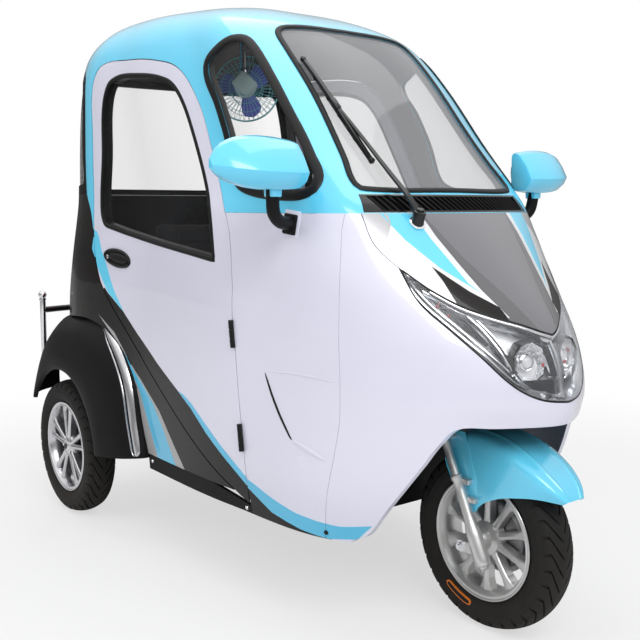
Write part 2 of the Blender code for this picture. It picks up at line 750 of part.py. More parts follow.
# Joint empties
steer_axis = Vector((-math.sin(RAKE), 0, math.cos(RAKE)))
steer_base = FRONT_AXLE + Vector((STEER_OFFSET, 0, 0))
steering = empty_at("steering_axis", steer_base, steer_axis)
front_wheel = empty_at("front_wheel_axis", FRONT_AXLE, Vector((0, 1, 0)))
front_wheel.parent = steering
front_wheel.matrix_parent_inverse = steering.matrix_basis.inverted()
rear_wheels = {}
doors = {}
hinges = {}
for word, side in SIDES:
    rear_wheels[word] = empty_at("rear_wheel_axis_" + word, REAR_AXLE, Vector((0, 1, 0)))
    low = Vector((HINGE_LOW.x, -side * HINGE_LOW.y, HINGE_LOW.z))
    high = Vector((HINGE_HIGH.x, -side * HINGE_HIGH.y, at_belt(HINGE_HIGH.z)))
    hinges[word] = (low, high)
    doors[word] = empty_at("door_axis_" + word, low, high - low)
fan_spin = empty_at("fan_axis", FAN_CENTRE, FAN_AXIS)

# Shared cutters
door_opening = side_prism("door_opening", DOOR_OUTLINE, grow=DOOR_GAP,
                          rear_extra=DOOR_REAR_EXTRA)
cabin_zone = side_prism("cabin_zone", CABIN_ZONE)
cabin_zone_gap = side_prism("cabin_zone_gap", CABIN_ZONE, grow=SEAM)
quarter_opening = side_prism("quarter_opening", QUARTER_WINDOW, grow=-WINDOW_SEAL)
rear_opening = side_prism("rear_opening", REAR_WINDOW)
windscreen_opening = front_prism("windscreen_opening", WINDSCREEN, grow=-WINDOW_SEAL)
cowl_opening = front_prism("cowl_opening", COWL)
hood_zone = front_prism("hood_zone", HOOD)
hood_gap = front_prism("hood_gap", HOOD, grow=SEAM)
lens_zone = front_prism("lens_zone", LENS)
lens_gap = front_prism("lens_gap", LENS, grow=SEAM)
side_zone_gap = side_prism("side_zone_gap", SIDE_PANEL_ZONE, grow=SEAM)
sill_gap = side_prism("sill_gap", SILL_ZONE, grow=SEAM)
quarter_zone_gap = side_prism("quarter_zone_gap", QUARTER_ZONE, grow=SEAM)
window_opening = side_prism("window_opening", DOOR_WINDOW)


def fender_point(angle, radius, across):
    turn = math.radians(angle)
    return Vector((REAR_AXLE.x + radius * math.cos(turn), across,
                   REAR_AXLE.z + radius * math.sin(turn)))


def fender_outline(grow):
    """Side outline of the rear fender, with the wheel opening inside it."""
    joints = [fender_point(a, r, 0) for a, r in REAR_FENDER_STATIONS]
    loop = [Vector((p.x, p.z)) for p in joints]
    loop.append(Vector((loop[-1].x, ARCH_BOTTOM)))
    loop.append(Vector((loop[0].x, ARCH_BOTTOM)))
    return grow_loop(loop, grow)


fender_gaps = [prism("fender_gap", fender_outline(SEAM), "Y", *span)
               for span in ((-0.8, -FENDER_INNER), (FENDER_INNER, 0.8))]

# Cabin shell with roof, pillars and belt
panel("cabin_shell", "blue", CABIN_WALL, [cabin_zone],
      [door_opening, quarter_opening, windscreen_opening, cowl_opening])
panel("windscreen", "glass", GLASS,
      [front_prism("windscreen_zone", WINDSCREEN, grow=-WINDOW_SEAL - SEAT)],
      inset=GLASS_INSET)
panel("rear_window_frame", "black", CABIN_WALL, [side_prism("rear_frame", REAR_FRAME_ZONE)],
      [cabin_zone_gap, rear_opening, door_opening])
panel("rear_window", "glass", GLASS,
      [side_prism("rear_glass", REAR_WINDOW, grow=-SEAT)], inset=GLASS_INSET)

# Nose, hood, lamps and cowl
panel("nose_panel", "white", PANEL_WALL, [side_prism("nose_zone", NOSE_ZONE)],
      [side_zone_gap, hood_gap, lens_gap, sill_gap])
panel("hood_panel", "grey", PANEL_WALL, [hood_zone], [side_zone_gap])
panel("headlamp_lens", "lens", GLASS, [lens_zone])
pocket = skin("reflector_pocket", LAMP_DEPTH + GLASS - REFLECTOR_WALL, -GLASS)
boolean(pocket, front_prism("pocket_zone", LENS, grow=-2 * REFLECTOR_WALL), "INTERSECT",
        "MANIFOLD")
panel("headlamp_reflector", "chrome", LAMP_DEPTH - GLASS - SEAT,
      [front_prism("reflector_zone", LENS, grow=-REFLECTOR_WALL)], [settle(pocket)],
      inset=GLASS + SEAT)
grille = skin("cowl_grille", 0.014, 0.004)
boolean(grille, front_prism("cowl_zone", COWL, grow=-SEAT), "INTERSECT")
for number in range(-LOUVRES, LOUVRES):
    y = (number + 0.5) * LOUVRE_PITCH
    slot = [Vector((y + across, at_belt(height))) for across, height in LOUVRE_SLOT]
    boolean(grille, prism("louvre", slot, "X", 0.3, 1.0), "DIFFERENCE")
keep(settle(grille), "cowl_grille", "black")

# Rear panel and its lamps
lamp_gaps = {}
for word, side in SIDES:
    loop = [Vector((side * p.x, p.y)) for p in smooth_loop(TAIL_LAMP)]
    lamp_gaps[word] = prism("lamp_gap_" + word, grow_loop(loop, SEAT), "X", -1.5, -0.6)
    panel("tail_lamp_" + word, "red", 0.020,
          [prism("lamp_zone_" + word, loop, "X", -1.5, -0.6)], inset=-0.004)
panel("rear_panel", "black", PANEL_WALL, [side_prism("rear_zone", REAR_ZONE)],
      [quarter_zone_gap, cabin_zone_gap, *fender_gaps, *lamp_gaps.values()])

for word, side in SIDES:
    low, high = side_span(side)
    half = box("half_" + word, (-1.5, low, 0), (1.5, high, 2.2))
    as_cutter(half)
    axis_low, axis_high = hinges[word]
    along = (axis_high - axis_low).normalized()
    door = skin("door_" + word, DOOR_WALL)
    boolean(door, side_prism("door_zone_" + word, DOOR_OUTLINE, low, high), "INTERSECT",
            "MANIFOLD")
    boolean(door, window_opening, "DIFFERENCE", "MANIFOLD")
    side_panel = skin("front_side_panel_" + word, PANEL_WALL)
    boolean(side_panel, side_prism("side_zone_" + word, SIDE_PANEL_ZONE, low, high),
            "INTERSECT", "MANIFOLD")
    for cut in (door_opening, sill_gap, hood_gap):
        boolean(side_panel, cut, "DIFFERENCE", "MANIFOLD")
    third = HINGE_LENGTH / 3
    for centre in (axis_low, axis_high):
        ends = [centre + along * third * k for k in (-1.5, -0.5, 0.5, 1.5)]
        clear = along * SEAT
        door_tab = box("tab", (-0.5, -0.5, -0.5), (0.5, 0.5, 0.5))
        boolean(door, rod("knuckle", ends[1] + clear, ends[2] - clear, HINGE_RADIUS, 12),
                "UNION", "MANIFOLD")
        door_tab.data.transform(
            Matrix.Translation(centre + Vector((-0.009, -side * 0.010, 0)))
            @ Matrix.Diagonal((0.020, 0.009, third - 0.001, 1)))
        boolean(door, door_tab, "UNION", "MANIFOLD")
        for a, b in ((ends[0], ends[1]), (ends[2], ends[3])):
            boolean(side_panel, rod("knuckle", a + clear, b - clear, HINGE_RADIUS, 12),
                    "UNION", "MANIFOLD")
            side_tab = box("tab", (-0.5, -0.5, -0.5), (0.5, 0.5, 0.5))
            side_tab.data.transform(
                Matrix.Translation((a + b) / 2 + Vector((0.0094, -side * 0.0073, 0)))
                @ Matrix.Diagonal((0.0206, 0.0083, third - 0.0013, 1)))
            boolean(side_panel, side_tab, "UNION", "MANIFOLD")
    keep(settle(door), "door_" + word, "white", doors[word])
    keep(settle(side_panel), "front_side_panel_" + word, "white")
    panel("door_glass_" + word, "glass", GLASS,
          [side_prism("door_glass_zone_" + word, DOOR_WINDOW, low, high, grow=-SEAT)],
          inset=0.012, parent=doors[word])
    handle = [Vector((HANDLE_X + HANDLE_LENGTH / 2 * math.cos(k * math.pi / 10),
                      at_belt(HANDLE_HEIGHT) + HANDLE_DEPTH / 2 * math.sin(k * math.pi / 10)))
              for k in range(20)]
    panel("door_handle_" + word, "black", 0.010,
          [prism("handle_zone_" + word, handle, "Y", low, high)],
          inset=-0.0103, parent=doors[word])
    panel("quarter_window_" + word, "glass", GLASS,
          [side_prism("quarter_glass_" + word, QUARTER_WINDOW, low, high,
                      grow=-WINDOW_SEAL - SEAT)], inset=GLASS_INSET)
    panel("quarter_panel_" + word, "charcoal", PANEL_WALL,
          [side_prism("quarter_zone_" + word, QUARTER_ZONE, low, high)],
          [cabin_zone_gap, door_opening, *fender_gaps, side_zone_gap])
    panel("sill_" + word, "black", PANEL_WALL,
          [side_prism("sill_zone_" + word, SILL_ZONE, low, high)],
          [*fender_gaps, door_opening])

    rings = []
    joints = fender_outline(SEAM - SEAT - FENDER_WALL / 2)
    for (angle, radius), joint in zip(REAR_FENDER_STATIONS, joints):
        lip = fender_point(angle, FENDER_LIP, side * (FENDER_OUT - FENDER_WALL))
        ring = [lip, fender_point(angle, FENDER_LIP + 0.010, side * FENDER_OUT)]
        for share, across in FENDER_PROFILE:
            ring.append(Vector((lip.x + (joint.x - lip.x) * share, side * across,
                                lip.z + (joint.y - lip.z) * share)))
        rings.append(ring)
    arch = loft("rear_fender_" + word, rings, closed_rings=False, caps=False)
    thick = arch.modifiers.new("wall", "SOLIDIFY")
    thick.thickness = FENDER_WALL
    thick.offset = 0.0
    thick.use_even_offset = True
    keep(settle(arch), "rear_fender_" + word, "black")


def tyre(name, centre_y, axle, parent):
    """A closed tyre: outer tread, sidewalls and bead."""
    half = TYRE_WIDTH / 2
    seat = RIM_RADIUS - RIM_BEAD + SEAT
    profile = [(TYRE_RADIUS - 0.010, half * 0.80), (TYRE_RADIUS - 0.0025, half * 0.45),
               (TYRE_RADIUS, 0.0), (TYRE_RADIUS - 0.0025, -half * 0.45),
               (TYRE_RADIUS - 0.010, -half * 0.80), (TYRE_RADIUS - 0.030, -half),
               (RIM_RADIUS + 0.028, -half * 0.97), (RIM_RADIUS + 0.004, -half * 0.78),
               (seat, -half * 0.70), (seat, half * 0.70),
               (RIM_RADIUS + 0.004, half * 0.78), (RIM_RADIUS + 0.028, half * 0.97),
               (TYRE_RADIUS - 0.030, half)]
    item = turned(name, profile)
    item.data.transform(Matrix.Translation((axle.x, centre_y, axle.z)))
    return keep(item, name, "rubber", parent)


def rim(name, centre_y, axle, parent, spokes, twin, hub_half):
    """A cast rim: barrel with flanges, hub with a bore, and spokes."""
    bead = RIM_RADIUS - RIM_BEAD
    half = TYRE_WIDTH / 2 * 0.70 - SEAT
    lip = half + 0.0085
    profile = [(bead, half), (RIM_RADIUS - 0.010, half + 0.0006), (RIM_RADIUS, half + 0.0045),
               (RIM_RADIUS, lip), (RIM_RADIUS - 0.006, lip), (bead - 0.012, half - 0.006),
               (bead - 0.014, -half + 0.006), (RIM_RADIUS - 0.006, -lip),
               (RIM_RADIUS, -lip), (RIM_RADIUS, -half - 0.0045),
               (RIM_RADIUS - 0.010, -half - 0.0006), (bead, -half)]
    barrel = turned(name, profile)
    hub = rod("hub", (0, -hub_half, 0), (0, hub_half, 0), HUB_RADIUS, 20)
    pieces = [barrel, hub]
    for k in range(spokes):
        base = 2 * math.pi * k / spokes
        for lean in ((-TWIN_SPOKE_LEAN, TWIN_SPOKE_LEAN) if twin else (0.0,)):
            inner = Vector((math.cos(base + lean * 0.6), 0, math.sin(base + lean * 0.6)))
            outer = Vector((math.cos(base + lean), 0, math.sin(base + lean)))
            start, end = inner * (HUB_RADIUS - 0.010), outer * (bead - 0.008)
            bar = box("spoke", (-0.5, -0.5, -0.5), (0.5, 0.5, 0.5))
            length = (end - start).length
            turn = Vector((1, 0, 0)).rotation_difference(end - start).to_matrix().to_4x4()
            width = TWIN_SPOKE_WIDTH if twin else SPOKE_WIDTH
            bar.data.transform(Matrix.Translation((start + end) / 2) @ turn
                               @ Matrix.Diagonal((length, SPOKE_DEPTH, width, 1)))
            pieces.append(bar)
    item = union(name, pieces)
    boolean(item, rod("bore", (0, -0.2, 0), (0, 0.2, 0), AXLE_RADIUS + RUN, 20),
            "DIFFERENCE")
    settle(item)
    item.data.transform(Matrix.Translation((axle.x, centre_y, axle.z)))
    return keep(item, name, "silver", parent)


tyre("front_tyre", 0.0, FRONT_AXLE, front_wheel)
rim("front_rim", 0.0, FRONT_AXLE, front_wheel, FRONT_SPOKES, False, FRONT_HUB_HALF)
wheel_y = REAR_TRACK / 2
for word, side in SIDES:
    tyre("rear_tyre_" + word, side * wheel_y, REAR_AXLE, rear_wheels[word])
    rim("rear_rim_" + word, side * wheel_y, REAR_AXLE, rear_wheels[word], REAR_SPOKES, True,
        REAR_HUB_HALF)


def on_steer(height, ahead=0.0):
    """A point of the steering axis at a height, moved ahead square to it in side view."""
    along = (height - steer_base.z) / steer_axis.z
    return steer_base + steer_axis * along + Vector((ahead, 0, 0))


# Fork, with legs, axle clamps, crown, stem and front axle
leg_y = LEG_SPACING / 2
fork_pieces = [rod("stem", on_steer(CROWN_HEIGHT - 0.01), on_steer(STEM_TOP), STEM_RADIUS,
                   24)]
fork_pieces.append(rod("axle", FRONT_AXLE - Vector((0, leg_y + 0.012, 0)),
                       FRONT_AXLE + Vector((0, leg_y + 0.012, 0)), AXLE_RADIUS, 20))
leg_ahead = LEG_LEAD - STEER_OFFSET
crown = box("crown", (-0.5, -0.5, -0.5), (0.5, 0.5, 0.5))
crown.data.transform(Matrix.Translation(on_steer(CROWN_HEIGHT, leg_ahead / 2))
                     @ Matrix.Rotation(-RAKE, 4, "Y")
                     @ Matrix.Diagonal((leg_ahead + 0.050, LEG_SPACING + 0.046, 0.030, 1)))
fork_pieces.append(crown)
for word, side in SIDES:
    across = Vector((0, side * leg_y, 0))
    top = on_steer(CROWN_HEIGHT, leg_ahead) + across
    middle = on_steer(0.405, leg_ahead) + across
    bottom = on_steer(0.205, leg_ahead) + across
    fork_pieces.append(rod("upper_leg", top + steer_axis * 0.020, middle - steer_axis * 0.02,
                           LEG_UPPER_RADIUS, 12))
    fork_pieces.append(rod("lower_leg", middle, bottom, LEG_RADIUS, 16))
    clamp = box("clamp", (FRONT_AXLE.x - 0.022, side * leg_y - 0.0140,
                          FRONT_AXLE.z - 0.018),
                (FRONT_AXLE.x + 0.050, side * leg_y + 0.0140, FRONT_AXLE.z + 0.018))
    fork_pieces.append(clamp)
    spacer_end = FRONT_AXLE + Vector((0, side * (FRONT_HUB_HALF + RUN), 0))
    fork_pieces.append(rod("spacer", spacer_end, FRONT_AXLE + across, 0.016, 20))
    for height in (0.365, 0.410):
        boss = on_steer(height, leg_ahead)
        inner = side * (FENDER_HALF + FRONT_FENDER_WALL / 2 + SEAT)
        fork_pieces.append(box("tab", boss + Vector((-0.010, min(inner, side * leg_y), -0.007)),
                               boss + Vector((0.034, max(inner, side * leg_y), 0.007))))
keep(union("fork", fork_pieces), "fork", "silver", steering)

# Front fender
rings = []
for angle, crest, half_width, skirt in FRONT_FENDER_STATIONS:
    turn = math.radians(angle)
    out = Vector((math.cos(turn), 0, math.sin(turn)))
    ring = []
    for across, down in ((-1.0, 1.0), (-1.0, 0.45), (-0.97, 0.14), (-0.80, 0.045),
                         (-0.42, 0.010), (0.0, 0.0), (0.42, 0.010), (0.80, 0.045),
                         (0.97, 0.14), (1.0, 0.45), (1.0, 1.0)):
        ring.append(FRONT_AXLE + out * (crest - skirt * down)
                    + Vector((0, across * half_width, 0)))
    rings.append(ring)
fender = loft("front_fender", rings, closed_rings=False, caps=False)
thick = fender.modifiers.new("wall", "SOLIDIFY")
thick.thickness = FRONT_FENDER_WALL
thick.offset = 0.0
thick.use_even_offset = True
keep(settle(fender), "front_fender", "blue", steering)

# Handlebar with grips and display pod
bar_centre = on_steer(STEM_TOP) + steer_axis * (POD_THICK / 2 + SEAT)
half_bar = [bar_centre + Vector(place) for place in HALF_BAR]
mirrored = [Vector((p.x, -p.y, p.z)) for p in reversed(half_bar)]
bar_pieces = [tube("bar", half_bar + mirrored, BAR_RADIUS, 2)]
for tip, inner in ((half_bar[0], half_bar[1]), (mirrored[-1], mirrored[-2])):
    reach = (tip - inner).normalized() * 0.007
    bar_pieces.append(rod("grip", inner - reach, tip + reach, GRIP_RADIUS, 16))
pod = box("pod", (-0.5, -0.5, -0.5), (0.5, 0.5, 0.5))
pod.data.transform(Matrix.Translation(bar_centre) @ Matrix.Rotation(-RAKE, 4, "Y")
                   @ Matrix.Diagonal((POD_LENGTH, POD_WIDTH, POD_THICK, 1)))
bar_pieces.append(pod)
keep(union("handlebar", bar_pieces), "handlebar", "black", steering)

# Frame with head tube
rail_y = RAIL_SPACING / 2
frame_pieces = []
for side in (-1, 1):
    frame_pieces.append(box("rail", (RAIL_REAR, side * rail_y - RAIL_WIDTH / 2, RAIL_BOTTOM),
                            (RAIL_FRONT, side * rail_y + RAIL_WIDTH / 2, RAIL_TOP)))
for x in (RAIL_REAR + 0.02, -0.42, 0.05, RAIL_FRONT - 0.02):
    frame_pieces.append(box("cross", (x - 0.0149, -rail_y, RAIL_BOTTOM + 0.003),
                            (x + 0.0149, rail_y, RAIL_TOP - 0.003)))
head_middle = on_steer(HEAD_TUBE_HEIGHT)
neck = [Vector((RAIL_FRONT - 0.014, 0, 0.302)), Vector((0.530, 0, 0.380)),
        Vector((0.540, 0, 0.550)), head_middle - Vector((0.023, 0, 0.012))]
frame_pieces.append(tube("neck", neck, 0.022, 2))
head_half = steer_axis * HEAD_TUBE_LENGTH / 2
frame_pieces.append(rod("head", head_middle - head_half, head_middle + head_half,
                        HEAD_TUBE_RADIUS, 24))
frame = union("chassis_frame", frame_pieces)
boolean(frame, rod("head_bore", head_middle - head_half * 3, head_middle + head_half * 3,
                   STEM_RADIUS + RUN, 24), "DIFFERENCE")
keep(settle(frame), "chassis_frame", "steel")

# Rear axle with differential, motor and spring seats
axle_end = wheel_y + REAR_HUB_HALF + 0.004
axle_pieces = [rod("axle", REAR_AXLE - Vector((0, wheel_y - REAR_HUB_HALF - RUN, 0)),
                   REAR_AXLE + Vector((0, wheel_y - REAR_HUB_HALF - RUN, 0)),
                   AXLE_TUBE_RADIUS, 20),
               rod("stubs", REAR_AXLE - Vector((0, axle_end, 0)),
                   REAR_AXLE + Vector((0, axle_end, 0)), AXLE_RADIUS, 20),
               ball("gear", REAR_AXLE, (GEAR_RADIUS, GEAR_HALF, GEAR_RADIUS), 12, 8),
               rod("motor", REAR_AXLE + Vector((MOTOR_START, 0, 0)),
                   REAR_AXLE + Vector((MOTOR_END, 0, 0)), MOTOR_RADIUS, 20)]
for side in (-1, 1):
    axle_pieces.append(box("spring_pad",
                           (REAR_AXLE.x - 0.05, side * rail_y - 0.014, REAR_AXLE.z + 0.005),
                           (REAR_AXLE.x + 0.05, side * rail_y + 0.014,
                            RAIL_BOTTOM - SEAT)))
keep(union("rear_axle", axle_pieces), "rear_axle", "steel")

# Floor, rear tub and wheel-well liner fill the body to its inner wall
floor = core("floor_pan", PANEL_WALL + FLOOR_FIT)
boolean(floor, box("floor_zone", (FLOOR_REAR, -0.6, RAIL_TOP + SEAT),
                   (FLOOR_FRONT, 0.6, RAIL_TOP + SEAT + FLOOR_THICK)), "INTERSECT",
        "MANIFOLD")
boolean(floor, box("neck_room", (RAIL_FRONT - 0.050, -0.027, 0.2), (0.560, 0.027, 0.5)),
        "DIFFERENCE", "MANIFOLD")
for side in (-1, 1):
    span = (-0.8, -0.38) if side < 0 else (0.38, 0.8)
    boolean(floor, side_prism("floor_door", DOOR_OUTLINE, *span, grow=DOOR_GAP + 0.004),
            "DIFFERENCE", "MANIFOLD")
    boolean(floor, prism("floor_wheel", fender_outline(0.004), "Y", *span), "DIFFERENCE",
            "MANIFOLD")
keep(settle(floor), "floor_pan", "black")
floor_top = RAIL_TOP + SEAT + FLOOR_THICK

tub_low = floor_top + SEAT
tub = box("rear_tub", (TUB_REAR, -TUB_HALF, tub_low),
          (TUB_FRONT, TUB_HALF, SEAT_BASE_TOP))
boolean(tub, box("tub_room", (TUB_REAR + TUB_WALL, -TUB_HALF + TUB_WALL, 0.2),
                 (TUB_FRONT - TUB_WALL, TUB_HALF - TUB_WALL, SEAT_BASE_TOP - TUB_WALL)),
        "DIFFERENCE")
keep(settle(tub), "rear_tub", "black")

LINER = ((1.050, 0.598, 1), (0.640, 0.598, 1), (0.576, 0.500, 1), (0.576, 0.275, 1),
         (0.570, 0.275, 1), (0.570, 0.503, 1), (0.637, 0.604, 1), (1.050, 0.604, 1))
liner = core("wheel_liner", PANEL_WALL + FLOOR_FIT)
boolean(liner, side_prism("liner_zone", LINER), "INTERSECT")
boolean(liner, rod("stem_room", on_steer(0.50), on_steer(0.70), STEM_RADIUS + 0.010, 24),
        "DIFFERENCE")
boolean(liner, front_prism("liner_lens", LENS, 0.5, 1.5, grow=0.004), "DIFFERENCE")
keep(settle(liner), "wheel_liner", "black")

# Seat and battery
base_low = Vector((SEAT_REAR + 0.005, -SEAT_BASE_HALF, floor_top + SEAT))
base_high = Vector((SEAT_FRONT - 0.050, SEAT_BASE_HALF, SEAT_BASE_TOP))
base_wall = Vector((SEAT_BASE_WALL,) * 3)
base = box("seat_base", base_low, base_high)
room_low = base_low + base_wall
room_low.z = RAIL_BOTTOM
boolean(base, box("base_room", room_low, base_high - base_wall), "DIFFERENCE")
keep(settle(base), "seat_base", "black")
keep(box("battery_block", (base_low.x + BATTERY_ENDS, -BATTERY_HALF, base_low.z),
         (base_high.x - BATTERY_ENDS, BATTERY_HALF, BATTERY_TOP)), "battery_block", "charcoal")


def cushion(name, low, high, lean=0.0):
    """A plain cushion solid with rounded edges."""
    low, high = Vector(low), Vector(high)
    item = box(name, low, high)
    if lean:
        foot = Matrix.Translation((low.x, 0, low.z))
        item.data.transform(foot @ Matrix.Rotation(lean, 4, "Y") @ foot.inverted())
    soft = item.modifiers.new("round", "BEVEL")
    soft.width = 0.022
    soft.segments = 2
    settle(item)
    lowest = min(v.co.z for v in item.data.vertices)
    item.data.transform(Matrix.Translation((0, 0, low.z - lowest)))
    return keep(item, name, "leather")


cushion("seat_cushion", (SEAT_REAR, -SEAT_HALF, SEAT_BASE_TOP + SEAT),
        (SEAT_FRONT, SEAT_HALF, SEAT_TOP))
back_x = SEAT_REAR - 0.004
cushion("seat_back", (back_x - SEAT_BACK_THICK, -SEAT_HALF, SEAT_BASE_TOP + SEAT),
        (back_x, SEAT_HALF, SEAT_BACK_TOP), lean=SEAT_BACK_LEAN)

# Dashboard across the cowl
dash = core("dashboard", PANEL_WALL + WALL_FIT)
boolean(dash, box("dash_zone", (DASH_REAR, -SEAT_HALF * 2, at_belt(DASH_LOW)),
                  (DASH_FRONT, SEAT_HALF * 2, at_belt(DASH_TOP))), "INTERSECT")
keep(settle(dash), "dashboard", "black")

# Ceiling fan
fan_turn = Vector((0, 0, 1)).rotation_difference(FAN_AXIS).to_matrix().to_4x4()


def fan_place(item):
    item.data.transform(Matrix.Translation(FAN_CENTRE) @ fan_turn)
    return item


def hoop(radius, along, wire=0.002):
    """A wire hoop square to the fan's axis."""
    profile = [(radius + wire * math.cos(k * math.pi / 3 + 0.3),
                -wire * math.sin(k * math.pi / 3 + 0.3)) for k in range(6)]
    item = turned("hoop", profile, 20)
    item.data.transform(Matrix.Translation((0, 0, along)) @ Matrix.Rotation(
        math.radians(90), 4, "X"))
    return item


cage_pieces = [rod("motor", (0, 0, -0.075), (0, 0, -0.020), 0.030, 16),
             hoop(FAN_RADIUS, 0.0), hoop(0.050, 0.030)]
FAN_WIRES = 6
for k in range(FAN_WIRES):
    a = (k + 0.27) * math.tau / FAN_WIRES
    wire = [(0.026 * math.cos(a), 0.026 * math.sin(a), -0.028),
            (0.098 * math.cos(a), 0.098 * math.sin(a), -0.020),
            ((FAN_RADIUS + 0.0007) * math.cos(a), (FAN_RADIUS + 0.0007) * math.sin(a), 0.0),
            (0.098 * math.cos(a), 0.098 * math.sin(a), 0.020),
            (0.0497 * math.cos(a), 0.0497 * math.sin(a), 0.0302)]
    cage_pieces.append(tube("wire", wire, 0.0018, 1))
cage_pieces.append(rod("pin", (0, 0, -0.03), (0, 0, -0.0105), 0.004, 12))
fan = union("fan_cage", cage_pieces)
fan_place(fan)
hang = FAN_CENTRE - FAN_AXIS * 0.055
hanger = rod("hanger", hang, Vector((hang.x, hang.y, BODY_SECTIONS[-1][0])), 0.010, 12)
boolean(hanger, core("ceiling", CABIN_WALL + WALL_FIT), "INTERSECT")
boolean(fan, hanger, "UNION")
keep(settle(fan), "fan_cage", "teal")
blades = [rod("boss", (0, 0, -0.010), (0, 0, 0.012), 0.018, 16)]
for k in range(3):
    blade = box("blade", (-0.5, -0.5, -0.5), (0.5, 0.5, 0.5))
    blade.data.transform(Matrix.Rotation(k * math.tau / 3, 4, "Z")
                         @ Matrix.Translation((0.048, 0, 0))
                         @ Matrix.Rotation(math.radians(24), 4, "X")
                         @ Matrix.Diagonal((0.076, 0.034, 0.003, 1)))
    blades.append(blade)
rotor = union("fan_blades", blades)
fan_place(rotor)
keep(rotor, "fan_blades", "violet", fan_spin)

body_clear = core("body_clear", -SEAT)

for word, side in SIDES:
    rings = []
    for place, rear, ahead, low, high in MIRROR_SECTIONS:
        low, high = at_belt(low), at_belt(high)
        loop = [(rear, low + 0.01), (rear, high - 0.01), (rear + 0.012, high),
                (rear * 0.4 + ahead * 0.6, high), (ahead, high - 0.03 * (high - low) / 0.13),
                (ahead, low + 0.035 * (high - low) / 0.13),
                (rear * 0.4 + ahead * 0.6, low), (rear + 0.012, low)]
        rings.append([Vector((x, side * place, z)) for x, z in loop])
    shell = loft("mirror_" + word, rings)
    arm = [Vector((x, side * y, at_belt(z))) for x, y, z in MIRROR_ARM]
    boolean(shell, tube("arm", arm, MIRROR_ARM_RADIUS, 2), "UNION")
    boolean(shell, body_clear, "DIFFERENCE")
    keep(settle(shell), "mirror_" + word, "blue")

# Wiper: its spindle stands on the hood below the windscreen's right corner
arm_path = [Vector((x, y, at_belt(z))) for x, y, z in WIPER_ARM]
blade_path = [Vector((x, y, at_belt(z))) for x, y, z in WIPER_BLADE]
spindle = arm_path[0]
wiper = union("wiper", [
    rod("spindle", spindle - SPINDLE_AXIS * 0.035, spindle + SPINDLE_AXIS * 0.008, 0.012, 16),
    tube("arm", arm_path, WIPER_RADIUS, 1), tube("blade", blade_path, WIPER_RADIUS, 1)])
boolean(wiper, body_clear, "DIFFERENCE")
keep(settle(wiper), "wiper", "black")

# Rear bumper
ends = [Vector((x, y, BUMPER_HEIGHT)) for x, y in BUMPER_BOW]
bumper = [tube("bow", ends + [Vector((p.x, -p.y, p.z)) for p in ends[-2::-1]],
               BUMPER_RADIUS, 1)]
for side in (-1, 1):
    post = Vector((ends[0].x, side * ends[0].y, 0))
    bumper.append(rod("post", post + Vector((0, 0, BUMPER_FOOT[0][2] - 0.020)),
                      post + Vector((0, 0, KNOB_HEIGHT)), BUMPER_RADIUS - 0.001, 16))
    bumper.append(ball("knob", post + Vector((0, 0, KNOB_HEIGHT)), (KNOB_RADIUS,) * 3, 12, 8))
    bumper.append(tube("foot", [Vector((x, side * y, z)) for x, y, z in BUMPER_FOOT],
                       BUMPER_RADIUS - 0.002, 1))
    bumper.append(rod("stay", (ends[1].x, side * BUMPER_STAY, BUMPER_HEIGHT),
                      (BUMPER_FOOT[-1][0], side * BUMPER_STAY, BUMPER_HEIGHT),
                      BUMPER_RADIUS - 0.002, 12))
bumper = union("rear_bumper", bumper)
boolean(bumper, body_clear, "DIFFERENCE")
keep(settle(bumper), "rear_bumper", "chrome")
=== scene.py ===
"""Looks of the enclosed three-wheeled mobility scooter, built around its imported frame.
Metres, X forward, Y to the vehicle's left, Z up."""
import json
import math
import bmesh
import bpy
from mathutils import Matrix, Vector
from mathutils.bvhtree import BVHTree

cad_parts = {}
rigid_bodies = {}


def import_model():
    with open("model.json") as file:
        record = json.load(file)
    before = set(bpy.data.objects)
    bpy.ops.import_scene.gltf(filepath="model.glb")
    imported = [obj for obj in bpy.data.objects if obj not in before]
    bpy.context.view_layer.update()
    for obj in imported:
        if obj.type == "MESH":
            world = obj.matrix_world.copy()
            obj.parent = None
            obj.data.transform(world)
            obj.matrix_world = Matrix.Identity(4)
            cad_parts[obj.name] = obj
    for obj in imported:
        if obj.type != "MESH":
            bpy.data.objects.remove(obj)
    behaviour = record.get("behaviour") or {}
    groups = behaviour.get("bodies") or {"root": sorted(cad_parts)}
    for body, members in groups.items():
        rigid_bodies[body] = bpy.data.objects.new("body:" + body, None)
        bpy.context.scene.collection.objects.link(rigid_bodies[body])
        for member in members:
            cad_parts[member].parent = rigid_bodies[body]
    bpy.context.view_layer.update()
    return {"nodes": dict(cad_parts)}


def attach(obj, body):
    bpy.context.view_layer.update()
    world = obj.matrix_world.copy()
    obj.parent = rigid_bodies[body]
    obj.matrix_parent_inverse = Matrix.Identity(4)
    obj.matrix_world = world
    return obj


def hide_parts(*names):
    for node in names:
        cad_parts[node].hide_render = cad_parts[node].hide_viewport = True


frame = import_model()

SIDES = (("right", -1), ("left", 1))
SEAM = 0.0006

